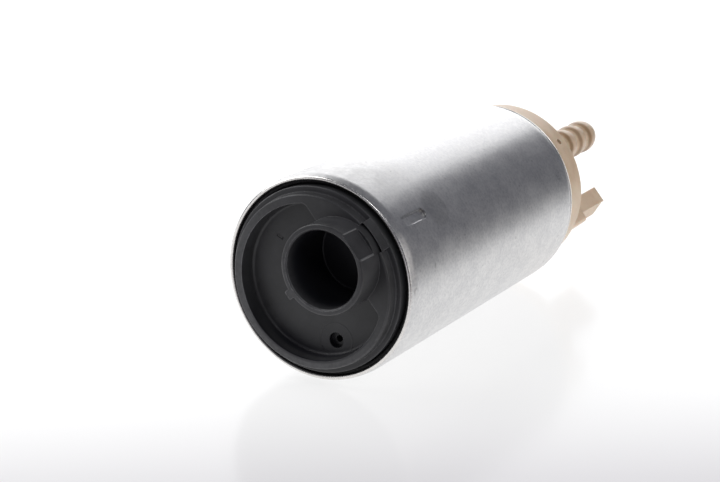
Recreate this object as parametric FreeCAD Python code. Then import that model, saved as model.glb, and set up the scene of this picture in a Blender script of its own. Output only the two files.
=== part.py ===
import FreeCAD, Part
import math
import os

# Electric fuel pump, sizes in millimetres. Every piece is drawn standing up: the pump axis is +Z, the rolled
# inlet mouth of the can lies at height 0, and the key direction (collar, key slot, nozzle) is +X.
# The last step lays the pump on its side, with its axis along +Y, the key direction raised by KEY_ANGLE and the
# origin on the axis halfway along the can, where a clamp holds it.

# How the pump lies
KEY_ANGLE = 39.4

# Fits between pieces
SEAT_GAP = 0.15
SEAL_GAP = 0.06
AXIAL_GAP = 0.06
RUNNING_GAP = 0.03
SLIDE_GAP = 0.12
TOUCH_GAP = 0.03

# Can
CAN_OUTER_R = 21.5
CAN_WALL = 0.75
CAN_LENGTH = 78.9
ROLL_LENGTH = 1.9
ROLL_DEPTH = 0.3
ROLL_BLEND_R = 6.0
LIP_ROUND = 0.3
DIMPLE_COUNT = 3
DIMPLE_ANGLE = 2.0
DIMPLE_WIDTH = 2.1
DIMPLE_START = 4.5
DIMPLE_LENGTH = 8.8
DIMPLE_NEAR_DEPTH = 0.15
DIMPLE_DEPTH = 0.4
DIMPLE_SPREAD = 0.3
DIMPLE_PUNCH_R = 0.8
DIMPLE_PUNCH_DEPTH = 0.2

# Seal rings
SEAL_SECTION_R = 0.6
SEAL_GROOVE = 1.35
SEAL_START = 1.0

# Inlet cover
INLET_DEPTH = 7.0
FLANGE_PROUD = 0.95
FLANGE_STEP = 1.34
RIM_WIDTH = 1.7
RIM_DRAFT = 0.15
RIM_PROUD = 3.1
RIM_ROUND = 0.35
POCKET_DRAFT = 0.3
POCKET_DEPTH = 3.9
POCKET_ROUND = 0.55
LAND_EDGE = 9.4
LAND_CORNER_R = 1.5
COLLAR_R = 9.2
COLLAR_BORE_R = 8.0
COLLAR_HEIGHT = 6.75
COLLAR_ROUND = 0.3
COLLAR_BORE_DEPTH = 13.9
KEY_FLAT_DEPTH = 0.65
KEY_FLAT_WIDTH = 6.0
KEY_FLAT_SETBACK = 1.2
KEY_FLAT_ROUND = 0.8
KEY_GAP = 0.36
KEY_SLOT_WIDTH = 6.8
KEY_SLOT_DEPTH = 3.9
KEY_NOTCH_DEPTH = 0.8
LUG_WIDTH = 1.9
LUG_REACH = 0.95
LUG_HEIGHT = 1.2
LUG_ROUND = 0.3
VENT_X = -5.1
VENT_Y = 12.1
VENT_R = 1.65
VENT_DEPTH = 1.3
VENT_HOLE_R = 0.7

# Turbine stage
CHAMBER_WALL = 3.55
HOOP_WIDTH = 0.6
CHANNEL_WIDTH = 3.4
CHANNEL_DEPTH = 1.5
CHANNEL_SWEEP = 300.0
PORT_HALF_ANGLE = 12.5
OUTLET_PORT_ANGLE = 16.0
IMPELLER_THICKNESS = 3.8
IMPELLER_TIP_GAP = 0.15
VANE_COUNT = 31
VANE_THICKNESS = 0.9
BALANCE_HOLE_COUNT = 3
BALANCE_HOLE_R = 1.2
BALANCE_HOLE_PITCH_R = 7.5
BALANCE_HOLE_START = 30.0
CASING_FLOOR = 4.6
BEARING_BOSS_R = 6.0
BEARING_BOSS_HEIGHT = 2.6
THRUST_R = 2.5
THRUST_THICKNESS = 1.0

# Shaft and bearings
SHAFT_R = 2.0
SHAFT_FLAT_DEPTH = 0.45
SHAFT_CHAMFER = 0.3
BEARING_R = 3.8
BEARING_LENGTH = 6.0
BEARING_STEP = 1.0
SHAFT_HOLE_GAP = 0.4

# Motor
CORE_R = 13.0
CORE_CLEARANCE = 7.4
SLOT_COUNT = 8
TOOTH_WIDTH = 2.8
TOOTH_TIP = 1.5
SLOT_BOTTOM_R = 6.4
SLOT_ROUND = 0.4
SLOT_MOUTH = 1.8
SLOT_LINER = 0.2
INSULATOR_THICKNESS = 0.8
END_TURN_HEIGHT = 3.5
END_TURN_INNER_R = 5.2
END_TURN_ROUND = 1.2
MAGNET_INNER_R = 13.6
MAGNET_LENGTH = 32.0
MAGNET_OVERHANG = 1.0
MAGNET_ANGLE = 148.0
MAGNET_ROUND = 0.6
FLUX_RING_WALL = 1.6
FLUX_RING_LENGTH = 37.0
CLIP_THICKNESS = 0.5
CLIP_LEG = 3.6
CLIP_LENGTH = 26.0

# Commutator and brushes
COMMUTATOR_GAP = 0.6
HUB_R = 10.4
HUB_HEIGHT = 2.0
HUB_BOSS_R = 4.2
SEGMENT_COUNT = 8
SEGMENT_OUTER_R = 10.2
SEGMENT_HEIGHT = 2.2
SEGMENT_GAP = 0.5
BRUSH_PITCH_R = 7.7
BRUSH_RADIAL = 4.5
BRUSH_WIDTH = 6.0
BRUSH_LENGTH = 8.0
BRUSH_TRAVEL = 2.5
BRUSH_SPRING_ROOM = 6.4
HOLDER_GAP = 1.6
HOLDER_THICKNESS = 3.0
HOLDER_WALL = 1.1
HOLDER_BOSS_R = 5.0
HOLDER_BOSS_HEIGHT = 4.2
FUEL_HOLE_COUNT = 4
FUEL_HOLE_R = 2.4
FUEL_HOLE_INSET = 5.0
CHOKE_R = 1.9
CHOKE_CORE_R = 1.2
CHOKE_LENGTH = 9.0
CHOKE_WIRE_LENGTH = 6.4

# Outlet cover
OUTLET_STEP = 0.2
OUTLET_PROUD = 9.5
OUTLET_ROUND = 0.3
OUTLET_WALL = 2.0
OUTLET_ROOF = 3.2
NOZZLE_INSET = 6.45
NOZZLE_Y = -0.54
NOZZLE_LENGTH = 23.3
NOZZLE_STEM_R = 3.5
NOZZLE_ROOT_ROUND = 0.8
NOZZLE_GROOVE_R = 3.3
NOZZLE_RIDGE_R = 3.88
NOZZLE_RIDGE_COUNT = 3
NOZZLE_RIDGE_PITCH = 5.65
NOZZLE_BORE_R = 2.3
TOWER_X = 3.55
TOWER_INSET = 5.9
TOWER_LENGTH = 9.9
TOWER_WIDTH = 4.15
TOWER_HEIGHT = 21.6
TOWER_ROUND = 0.2
TOWER_WALL = 0.8
SOCKET_DEPTH = 12.0
KEY_RIB_LENGTH = 3.5
KEY_RIB_SLOPE = 2.2
KEY_RIB_REACH = 1.3
KEY_RIB_SETBACK = 0.3
KEY_RIB_DROP = 0.8
KEY_RIB_RAMP = 3.0
KEY_RIB_ROUND = 0.5
TOWER_FOOT_LENGTH = 4.5
TOWER_FOOT_REACH = 1.9
TOWER_FOOT_HEIGHT = 8.6
TOWER_FOOT_ROUND = 0.9
TERMINAL_WIDTH = 2.8
TERMINAL_THICKNESS = 0.8
TERMINAL_PITCH = 4.6
TERMINAL_SETBACK = 2.5
BLEED_HOLE_R = 0.75
BLEED_HOLE_DEPTH = 1.2
BLEED_HOLE_ANGLE = -1.7
BLEED_HOLE_HEIGHT = 6.5

# Check valve under the nozzle
CHECK_CHAMBER_R = 4.1
CHECK_BOSS_WALL = 1.2
CHECK_CHAMBER_DEPTH = 11.6
CHECK_SEAT_HEIGHT = 1.8
CHECK_SEAT_R = 2.2
CHECK_HEAD_R = 3.2
CHECK_HEAD_HEIGHT = 1.6
CHECK_NOSE_HEIGHT = 0.9
CHECK_STEM_R = 1.3
CHECK_STEM_HEIGHT = 4.4
CHECK_LIFT = 2.5

# Relief valve
RELIEF_X = -9.5
RELIEF_Y = -8.5
RELIEF_CHAMBER_R = 2.6
RELIEF_BOSS_WALL = 1.2
RELIEF_CHAMBER_DEPTH = 10.6
RELIEF_SEAT_HEIGHT = 1.6
RELIEF_SEAT_R = 1.1
RELIEF_BALL_R = 1.7
RELIEF_VENT_R = 1.3
RELIEF_LIFT = 1.2

# Springs: radius of the wire, mean radius of the coil, number of turns
BRUSH_WIRE_R = 0.22
BRUSH_COIL_R = 1.65
BRUSH_TURN_COUNT = 5
CHECK_WIRE_R = 0.25
CHECK_COIL_R = 2.3
CHECK_TURN_COUNT = 4
RELIEF_WIRE_R = 0.2
RELIEF_COIL_R = 1.45
RELIEF_TURN_COUNT = 4

# Radii and heights that follow from the sizes above
CAN_INNER_R = CAN_OUTER_R - CAN_WALL
BODY_R = CAN_INNER_R - SEAT_GAP
FLANGE_R = CAN_INNER_R - SEAL_GROOVE
RIM_R = FLANGE_R - FLANGE_STEP
POCKET_R = RIM_R - RIM_WIDTH
OUTLET_R = FLANGE_R + OUTLET_STEP
COLLAR_OFFSET = RIM_R - KEY_GAP - COLLAR_R
IMPELLER_R = BODY_R - CHAMBER_WALL - IMPELLER_TIP_GAP
CHANNEL_OUTER_R = IMPELLER_R - HOOP_WIDTH
CHANNEL_INNER_R = CHANNEL_OUTER_R - CHANNEL_WIDTH
FUEL_HOLE_PITCH_R = BODY_R - FUEL_HOLE_INSET
NOZZLE_X = OUTLET_R - NOZZLE_INSET
TOWER_Y = OUTLET_R - TOWER_INSET
SEAL_HEIGHT = 2 * (SEAL_SECTION_R + SEAL_GAP)
SEAL_END = SEAL_START + SEAL_HEIGHT
COLLAR_TOP = -RIM_PROUD - COLLAR_HEIGHT
POCKET_FLOOR = POCKET_DEPTH - RIM_PROUD
BORE_FLOOR = COLLAR_TOP + COLLAR_BORE_DEPTH
KEY_FLAT_X = COLLAR_OFFSET + COLLAR_R - KEY_FLAT_DEPTH
KEY_FLAT_END = -RIM_PROUD - KEY_FLAT_SETBACK
NOTCH_Z = KEY_NOTCH_DEPTH - RIM_PROUD
CHAMBER_FLOOR = INLET_DEPTH + IMPELLER_THICKNESS + 2 * AXIAL_GAP
CASING_TOP = CHAMBER_FLOOR + CASING_FLOOR
LOWER_BEARING_Z = CHAMBER_FLOOR + BEARING_STEP
THRUST_Z = INLET_DEPTH - THRUST_THICKNESS - 1.2
SHAFT_BOTTOM = THRUST_Z + THRUST_THICKNESS + AXIAL_GAP
CORE_LENGTH = MAGNET_LENGTH - 2 * MAGNET_OVERHANG
CORE_BOTTOM = CASING_TOP + CORE_CLEARANCE
CORE_TOP = CORE_BOTTOM + CORE_LENGTH
CORE_MIDDLE = (CORE_BOTTOM + CORE_TOP) / 2
HUB_Z = CORE_TOP + INSULATOR_THICKNESS + END_TURN_HEIGHT + COMMUTATOR_GAP
SEGMENT_Z = HUB_Z + HUB_HEIGHT
SEGMENT_TOP = SEGMENT_Z + SEGMENT_HEIGHT
HOLDER_Z = SEGMENT_TOP + HOLDER_GAP
HOLDER_TOP = HOLDER_Z + HOLDER_THICKNESS
BRUSH_Z = SEGMENT_TOP + AXIAL_GAP
BRUSH_TOP = BRUSH_Z + BRUSH_LENGTH
GUIDE_ROOF = BRUSH_TOP + BRUSH_SPRING_ROOM
UPPER_BEARING_Z = HOLDER_Z
SHAFT_TOP = UPPER_BEARING_Z + BEARING_LENGTH - 0.6
OUTLET_SEAL_START = CAN_LENGTH - SEAL_END
OUTLET_FACE = CAN_LENGTH + OUTLET_PROUD
OUTLET_CEILING = OUTLET_FACE - OUTLET_ROOF
CHECK_CEILING = OUTLET_FACE - 1.0
CHECK_SEAT_Z = CHECK_CEILING - CHECK_CHAMBER_DEPTH
CHECK_SEAT_TOP = CHECK_SEAT_Z + CHECK_SEAT_HEIGHT
RELIEF_CEILING = OUTLET_FACE - 1.4
RELIEF_SEAT_Z = RELIEF_CEILING - RELIEF_CHAMBER_DEPTH
RELIEF_SEAT_TOP = RELIEF_SEAT_Z + RELIEF_SEAT_HEIGHT
TERMINAL_TOP = OUTLET_FACE + TOWER_HEIGHT - TERMINAL_SETBACK
CHOKE_TOP = HOLDER_TOP + CHOKE_LENGTH
FLUX_RING_INNER_R = BODY_R - FLUX_RING_WALL
MAGNET_OUTER_R = FLUX_RING_INNER_R - TOUCH_GAP


def corner_wire(corners, lift):
    """Closed wire through (a, b, radius) corners, each rounded by a tangent arc; lift(a, b) puts it in space."""
    count = len(corners)
    ends = []
    for index, (a, b, radius) in enumerate(corners):
        here = FreeCAD.Vector(a, b, 0)
        before = FreeCAD.Vector(corners[index - 1][0], corners[index - 1][1], 0)
        after = FreeCAD.Vector(corners[(index + 1) % count][0], corners[(index + 1) % count][1], 0)
        back = (before - here).normalize()
        on = (after - here).normalize()
        if radius == 0:
            ends.append((here, None, here))
            continue
        half = back.getAngle(on) / 2
        reach = radius / math.tan(half)
        middle = here + (back + on).normalize() * (radius / math.sin(half) - radius)
        ends.append((here + back * reach, middle, here + on * reach))
    edges = []
    for index, (enter, middle, leave) in enumerate(ends):
        if middle is not None:
            points = [lift(p.x, p.y) for p in (enter, middle, leave)]
            edges.append(Part.Arc(*points).toShape())
        start = lift(leave.x, leave.y)
        finish = ends[(index + 1) % count][0]
        finish = lift(finish.x, finish.y)
        if start.distanceToPoint(finish) > 1e-5:
            edges.append(Part.makeLine(start, finish))
    return Part.Wire(edges)


def turned(corners, x=0.0, y=0.0):
    """Solid of revolution about an upright axis at (x, y); corners are (radius, height, rounding)."""
    face = Part.Face(corner_wire(corners, lambda a, b: FreeCAD.Vector(a, 0, b)))
    solid = face.revolve(FreeCAD.Vector(0, 0, 0), FreeCAD.Vector(0, 0, 1), 360)
    solid.translate(FreeCAD.Vector(x, y, 0))
    return solid


def prism(corners, bottom, top):
    """Upright prism over an outline of (x, y, rounding) corners."""
    face = Part.Face(corner_wire(corners, lambda a, b: FreeCAD.Vector(a, b, bottom)))
    return face.extrude(FreeCAD.Vector(0, 0, top - bottom))


def disc(radius, bottom, top, x=0.0, y=0.0):
    """Upright cylinder."""
    return Part.makeCylinder(radius, top - bottom, FreeCAD.Vector(x, y, bottom))


def ring(outer, inner, bottom, top, x=0.0, y=0.0):
    """Upright tube."""
    return disc(outer, bottom, top, x, y).cut(disc(inner, bottom - 1, top + 1, x, y))


def block(x, y, length, width, bottom, top, rounding=0.0):
    """Upright block centred on (x, y), with its upright edges rounded."""
    half_x = length / 2
    half_y = width / 2
    corners = [
        (x - half_x, y - half_y, rounding),
        (x + half_x, y - half_y, rounding),
        (x + half_x, y + half_y, rounding),
        (x - half_x, y + half_y, rounding),
    ]
    return prism(corners, bottom, top)


def sector(outer, inner, bottom, top, start, finish):
    """Part of an upright tube between two angles in degrees."""
    corners = [(inner, bottom, 0), (outer, bottom, 0), (outer, top, 0), (inner, top, 0)]
    face = Part.Face(corner_wire(corners, lambda a, b: FreeCAD.Vector(a, 0, b)))
    solid = face.revolve(FreeCAD.Vector(0, 0, 0), FreeCAD.Vector(0, 0, 1), finish - start)
    solid.rotate(FreeCAD.Vector(0, 0, 0), FreeCAD.Vector(0, 0, 1), start)
    return solid


def around(shape, count, first=0.0):
    """Copies of a shape evenly spaced about the pump axis."""
    copies = []
    for index in range(count):
        copy = shape.copy()
        copy.rotate(FreeCAD.Vector(0, 0, 0), FreeCAD.Vector(0, 0, 1), first + index * 360.0 / count)
        copies.append(copy)
    return copies


def dimple_block(spread, surface, outer):
    """Tongue-shaped block along +X that deepens from a surface radius towards its round far end."""
    half = DIMPLE_WIDTH / 2 + spread
    near = DIMPLE_START - spread
    far = DIMPLE_START + DIMPLE_LENGTH + spread
    floor = surface - DIMPLE_DEPTH
    tongue_corners = [(near, -half, 0.3), (far, -half, half), (far, half, half), (near, half, 0.3)]
    tongue = Part.Face(corner_wire(tongue_corners, lambda a, b: FreeCAD.Vector(floor - 1, b, a)))
    tongue = tongue.extrude(FreeCAD.Vector(outer - floor + 2, 0, 0))
    side_corners = [
        (outer, near, 0),
        (surface - DIMPLE_NEAR_DEPTH, near, 0),
        (floor, far - DIMPLE_WIDTH, 2.0),
        (floor, far, 0),
        (outer, far, 0),
    ]
    side = Part.Face(corner_wire(side_corners, lambda a, b: FreeCAD.Vector(a, -half - 1, b)))
    return tongue.common(side.extrude(FreeCAD.Vector(0, 2 * half + 2, 0)))


def dimple_punch():
    """Round punch mark at the far end of a dimple."""
    height = DIMPLE_START + DIMPLE_LENGTH - DIMPLE_WIDTH / 2
    floor = CAN_OUTER_R - DIMPLE_DEPTH - DIMPLE_PUNCH_DEPTH
    return Part.makeCylinder(DIMPLE_PUNCH_R, 2, FreeCAD.Vector(floor, 0, height), FreeCAD.Vector(1, 0, 0))


def dimple_pockets():
    """Room that the dimples' inner bumps need in the pieces behind the can wall."""
    room = dimple_block(DIMPLE_SPREAD + SEAT_GAP, CAN_INNER_R - SEAT_GAP, CAN_OUTER_R)
    return around(room, DIMPLE_COUNT, DIMPLE_ANGLE)


def side_channel(face_height, depth_sign):
    """Round-bottomed annular channel beside the impeller, cut into the face at the given height."""
    width = CHANNEL_OUTER_R - CHANNEL_INNER_R
    bottom = face_height + depth_sign * CHANNEL_DEPTH
    above = face_height - depth_sign * 0.5
    corners = [
        (CHANNEL_INNER_R, above, 0),
        (CHANNEL_OUTER_R, above, 0),
        (CHANNEL_OUTER_R, bottom, width * 0.4),
        (CHANNEL_INNER_R, bottom, width * 0.4),
    ]
    face = Part.Face(corner_wire(corners, lambda a, b: FreeCAD.Vector(a, 0, b)))
    solid = face.revolve(FreeCAD.Vector(0, 0, 0), FreeCAD.Vector(0, 0, 1), CHANNEL_SWEEP)
    solid.rotate(FreeCAD.Vector(0, 0, 0), FreeCAD.Vector(0, 0, 1), -PORT_HALF_ANGLE)
    return solid


def coil_points(spring, bottom, top, samples):
    """Points and tangents of a helix between two seats, with the given number of samples to a turn."""
    wire, radius, turns = spring
    slope = (top - bottom) / turns / (2 * math.pi * radius)
    inset = wire * (1 + 2 * slope) + TOUCH_GAP
    low = bottom + inset
    rise = (top - inset - low) / turns
    found = []
    for index in range(turns * samples + 1):
        angle = 2 * math.pi * index / samples
        height = low + rise * index / samples
        place = FreeCAD.Vector(radius * math.cos(angle), radius * math.sin(angle), height)
        pitch = rise / (2 * math.pi)
        along = FreeCAD.Vector(-radius * math.sin(angle), radius * math.cos(angle), pitch).normalize()
        found.append((place, along))
    return found


def tangent_arc(start, along, finish):
    """Arc that leaves start in the direction along and ends at finish."""
    chord = finish - start
    length = chord.Length
    unit = FreeCAD.Vector(chord).normalize()
    side = (along - unit * along.dot(unit)).normalize()
    rise = length / 2 * math.tan(along.getAngle(chord) / 2)
    return Part.Arc(start, start + chord * 0.5 + side * rise, finish).toShape()


def biarc(start, along, finish, finish_along):
    """Two arcs that join start to finish and keep both tangents."""
    chord = finish - start
    both = along + finish_along
    spread = 2 * (1 - along.dot(finish_along))
    swing = chord.dot(both)
    reach = (-swing + math.sqrt(swing * swing + spread * chord.dot(chord))) / spread
    middle = (start + finish + (along - finish_along) * reach) * 0.5
    first = tangent_arc(start, along, middle)
    back = tangent_arc(finish, finish_along * -1, middle)
    second = Part.Arc(middle, back.valueAt((back.FirstParameter + back.LastParameter) / 2), finish).toShape()
    return [first, second]


def coil_spring(name, spring, bottom, top):
    """Compression spring as one unbroken wire on biarcs of half a turn, with short straight ends."""
    wire, radius, turns = spring
    stations = coil_points(spring, bottom, top, 2)
    first, first_along = stations[0]
    last, last_along = stations[-1]
    edges = [Part.makeLine(first - first_along * (2 * wire), first)]
    for (start, along), (finish, finish_along) in zip(stations, stations[1:]):
        edges += biarc(start, along, finish, finish_along)
    edges.append(Part.makeLine(last, last + last_along * (2 * wire)))
    start = first - first_along * (2 * wire)
    sweep = Part.BRepOffsetAPI.MakePipeShell(Part.Wire(edges))
    sweep.add(Part.Wire(Part.makeCircle(wire, start, first_along)))
    sweep.build()
    sweep.makeSolid()
    fine = [place for place, along in coil_points(spring, bottom, top, 24)]
    gap = min(fine[i].distanceToPoint(fine[j]) for i in range(len(fine)) for j in range(i + 12, len(fine)))
    print(name, "least gap between turns", round(gap - 2 * wire, 3))
    return sweep.shape()


def housing_can():
    """Thin steel can: both mouths rolled in, three tongue dimples stamped near the inlet mouth."""
    mouth_outer = CAN_OUTER_R - ROLL_DEPTH
    mouth_inner = CAN_INNER_R - ROLL_DEPTH
    corners = [
        (mouth_outer, 0, LIP_ROUND),
        (CAN_OUTER_R, ROLL_LENGTH, ROLL_BLEND_R),
        (CAN_OUTER_R, CAN_LENGTH - ROLL_LENGTH, ROLL_BLEND_R),
        (mouth_outer, CAN_LENGTH, LIP_ROUND),
        (mouth_inner, CAN_LENGTH, LIP_ROUND),
        (CAN_INNER_R, CAN_LENGTH - ROLL_LENGTH, ROLL_BLEND_R),
        (CAN_INNER_R, ROLL_LENGTH, ROLL_BLEND_R),
        (mouth_inner, 0, LIP_ROUND),
    ]
    can = turned(corners)
    bump = dimple_block(DIMPLE_SPREAD, CAN_INNER_R, CAN_OUTER_R - CAN_WALL / 2)
    can = can.fuse(around(bump, DIMPLE_COUNT, DIMPLE_ANGLE))
    dent = dimple_block(0, CAN_OUTER_R, CAN_OUTER_R + 1).fuse(dimple_punch())
    return can.cut(around(dent, DIMPLE_COUNT, DIMPLE_ANGLE)).removeSplitter()


def pocket_outline(radius, land, height):
    """Round outline that stops at a straight land, with a tangent arc in each of the two corners."""
    corner_x = land - LAND_CORNER_R
    corner_y = math.sqrt((radius - LAND_CORNER_R) ** 2 - corner_x ** 2)
    stretch = radius / (radius - LAND_CORNER_R)
    middle = math.atan2(corner_y * stretch, corner_x * stretch) / 2
    bend_x = corner_x + LAND_CORNER_R * math.cos(middle)
    bend_y = corner_y + LAND_CORNER_R * math.sin(middle)
    line_low = FreeCAD.Vector(land, -corner_y, height)
    line_high = FreeCAD.Vector(land, corner_y, height)
    arc_high = FreeCAD.Vector(corner_x * stretch, corner_y * stretch, height)
    arc_low = FreeCAD.Vector(corner_x * stretch, -corner_y * stretch, height)
    return Part.Wire([
        Part.makeLine(line_low, line_high),
        Part.Arc(line_high, FreeCAD.Vector(bend_x, bend_y, height), arc_high).toShape(),
        Part.Arc(arc_high, FreeCAD.Vector(-radius, 0, height), arc_low).toShape(),
        Part.Arc(arc_low, FreeCAD.Vector(bend_x, -bend_y, height), line_low).toShape(),
    ])


def cover_pocket():
    """Sunk floor of the inlet cover: a drafted round pocket that stops at a straight, round-cornered land."""
    floor = pocket_outline(POCKET_R - POCKET_DRAFT, LAND_EDGE - POCKET_DRAFT, POCKET_FLOOR)
    mouth = pocket_outline(POCKET_R, LAND_EDGE, -RIM_PROUD)
    well = Part.makeLoft([mouth, floor], True, True)
    low_edges = []
    for edge in well.Edges:
        if min(vertex.Point.z for vertex in edge.Vertexes) > POCKET_FLOOR - 1e-3:
            low_edges.append(edge)
    well = well.makeFillet(POCKET_ROUND, low_edges)
    lid = Part.Face(mouth).extrude(FreeCAD.Vector(0, 0, -1))
    return well.fuse(lid)


def key_recess():
    """Shallow flat recess on the collar's outer side, open at the front and round-cornered at its far end."""
    half = KEY_FLAT_WIDTH / 2
    corners = [
        (-half, COLLAR_TOP - 1, 0),
        (half, COLLAR_TOP - 1, 0),
        (half, KEY_FLAT_END, KEY_FLAT_ROUND),
        (-half, KEY_FLAT_END, KEY_FLAT_ROUND),
    ]
    face = Part.Face(corner_wire(corners, lambda a, b: FreeCAD.Vector(KEY_FLAT_X, a, b)))
    return face.extrude(FreeCAD.Vector(2 * KEY_FLAT_DEPTH, 0, 0))


def key_band(shape):
    """The part of a shape that lies in the key's width, on the collar's outer side."""
    reach = FLANGE_R - COLLAR_OFFSET
    return shape.common(block(COLLAR_OFFSET + reach / 2, 0, reach, KEY_SLOT_WIDTH, COLLAR_TOP, INLET_DEPTH))


def key_slot(outer, floor):
    """Crescent between the collar and a circle about the pump axis, down to a floor."""
    collar = disc(COLLAR_R, -RIM_PROUD - 2, floor + 1, COLLAR_OFFSET)
    crescent = disc(outer, -RIM_PROUD - 1, floor).cut(collar)
    return key_band(crescent)


def key_ramp():
    """Slope from the key notch down to the flange."""
    end_r = FLANGE_R - 0.2
    wedge = turned([
        (RIM_R, NOTCH_Z, 0),
        (end_r, -FLANGE_PROUD, 0),
        (end_r, -FLANGE_PROUD + 0.3, 0),
        (RIM_R, -FLANGE_PROUD + 0.3, 0),
    ])
    return key_band(wedge)


def inlet_cover():
    """Moulded inlet cover: stepped rim, sunk pocket, keyed eccentric collar, key slot, lug and vent."""
    body = turned([
        (0, -RIM_PROUD, 0),
        (RIM_R, -RIM_PROUD, RIM_ROUND),
        (RIM_R + RIM_DRAFT, -FLANGE_PROUD, 0.2),
        (FLANGE_R, -FLANGE_PROUD, 0.2),
        (FLANGE_R, SEAL_END, 0),
        (BODY_R, SEAL_END, 0.2),
        (BODY_R, INLET_DEPTH, 0),
        (0, INLET_DEPTH, 0),
    ])
    body = body.cut(cover_pocket())
    collar = turned([
        (0, COLLAR_TOP, 0),
        (COLLAR_R, COLLAR_TOP, COLLAR_ROUND),
        (COLLAR_R, POCKET_FLOOR + 0.5, 0),
        (0, POCKET_FLOOR + 0.5, 0),
    ], COLLAR_OFFSET)
    lug_root = COLLAR_OFFSET - COLLAR_R + 2 * LUG_ROUND
    lug_length = LUG_REACH + 2 * LUG_ROUND
    lug_x = lug_root - lug_length / 2
    lug = block(lug_x, 0, lug_length, LUG_WIDTH, COLLAR_TOP, COLLAR_TOP + LUG_HEIGHT, LUG_ROUND)
    notch = key_slot(FLANGE_R, NOTCH_Z)
    body = body.fuse([collar, lug]).cut(notch).fuse(key_ramp())
    bore = turned([
        (0, COLLAR_TOP - 1, 0),
        (COLLAR_BORE_R + COLLAR_ROUND, COLLAR_TOP - 1, 0),
        (COLLAR_BORE_R + COLLAR_ROUND, COLLAR_TOP, 0),
        (COLLAR_BORE_R, COLLAR_TOP + COLLAR_ROUND, 0),
        (COLLAR_BORE_R, BORE_FLOOR, 0.4),
        (0, BORE_FLOOR, 0),
    ], COLLAR_OFFSET)
    slot = key_slot(RIM_R, KEY_SLOT_DEPTH - RIM_PROUD)
    vent_bowl = disc(VENT_R, POCKET_FLOOR - 0.5, POCKET_FLOOR + VENT_DEPTH, VENT_X, VENT_Y)
    vent_hole = disc(VENT_HOLE_R, POCKET_FLOOR, INLET_DEPTH + 1, VENT_X, VENT_Y)
    port_r = COLLAR_OFFSET + COLLAR_BORE_R - 0.6
    port = sector(port_r, CHANNEL_INNER_R, BORE_FLOOR - 1, INLET_DEPTH + 1, -PORT_HALF_ANGLE, PORT_HALF_ANGLE)
    thrust_seat = disc(THRUST_R + SEAL_GAP, THRUST_Z, INLET_DEPTH + 1)
    cuts = [bore, key_recess(), slot, vent_bowl, vent_hole, port, side_channel(INLET_DEPTH, -1), thrust_seat]
    return body.cut(cuts + dimple_pockets()).removeSplitter()


def seal_ring(start):
    """Rubber ring of round section round a cover's neck."""
    middle = FLANGE_R + SEAL_GAP + SEAL_SECTION_R
    return Part.makeTorus(middle, SEAL_SECTION_R, FreeCAD.Vector(0, 0, start + SEAL_HEIGHT / 2))


def thrust_button():
    """Hard steel disc that carries the end of the shaft."""
    return turned([
        (0, THRUST_Z, 0),
        (THRUST_R, THRUST_Z, 0.2),
        (THRUST_R, THRUST_Z + THRUST_THICKNESS, 0.2),
        (0, THRUST_Z + THRUST_THICKNESS, 0),
    ])


def shaft_outline(radius, flat, bottom, top):
    """Round bar with one flat along its length."""
    bar = disc(radius, bottom, top)
    return bar.cut(block(flat + radius, 0, 2 * radius, 3 * radius, bottom - 1, top + 1))


def impeller():
    """Turbine wheel: vanes between a hub disc and a hoop, a drive hole with a flat and balance holes."""
    bottom = INLET_DEPTH + AXIAL_GAP
    top = bottom + IMPELLER_THICKNESS
    wheel = disc(IMPELLER_R, bottom, top)
    flat = SHAFT_R - SHAFT_FLAT_DEPTH + TOUCH_GAP
    cuts = [shaft_outline(SHAFT_R + TOUCH_GAP, flat, bottom - 1, top + 1)]
    balance = disc(BALANCE_HOLE_R, bottom - 1, top + 1, BALANCE_HOLE_PITCH_R)
    cuts += around(balance, BALANCE_HOLE_COUNT, BALANCE_HOLE_START)
    middle_r = (CHANNEL_INNER_R + CHANNEL_OUTER_R) / 2
    window = 360.0 / VANE_COUNT - math.degrees(VANE_THICKNESS / middle_r)
    gap = sector(CHANNEL_OUTER_R, CHANNEL_INNER_R, bottom - 1, top + 1, -window / 2, window / 2)
    cuts += around(gap, VANE_COUNT)
    return wheel.cut(cuts)


def pump_casing():
    """Casing plate: impeller chamber, side channel, outlet port and the lower bearing's boss."""
    chamber_r = IMPELLER_R + IMPELLER_TIP_GAP
    hole_r = SHAFT_R + SHAFT_HOLE_GAP
    boss_top = CASING_TOP + BEARING_BOSS_HEIGHT
    plate = turned([
        (chamber_r, INLET_DEPTH, 0),
        (BODY_R, INLET_DEPTH, 0),
        (BODY_R, CASING_TOP, 0.4),
        (BEARING_BOSS_R, CASING_TOP, 0.6),
        (BEARING_BOSS_R, boss_top, 0.4),
        (BEARING_R, boss_top, 0),
        (BEARING_R, LOWER_BEARING_Z, 0),
        (hole_r, LOWER_BEARING_Z, 0),
        (hole_r, CHAMBER_FLOOR, 0),
        (chamber_r, CHAMBER_FLOOR, 0),
    ])
    port_end = CHANNEL_SWEEP - PORT_HALF_ANGLE
    port_start = port_end - OUTLET_PORT_ANGLE
    port_inner = CHANNEL_INNER_R + 0.4
    port = sector(CHANNEL_OUTER_R - 0.4, port_inner, CHAMBER_FLOOR, CASING_TOP + 1, port_start, port_end)
    return plate.cut([side_channel(CHAMBER_FLOOR, 1), port] + dimple_pockets()).removeSplitter()


def bearing(bottom):
    """Sintered bush with a running fit on the shaft."""
    top = bottom + BEARING_LENGTH
    bore_r = SHAFT_R + RUNNING_GAP
    return turned([(bore_r, bottom, 0), (BEARING_R, bottom, 0.3), (BEARING_R, top, 0.3), (bore_r, top, 0)])


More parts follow.
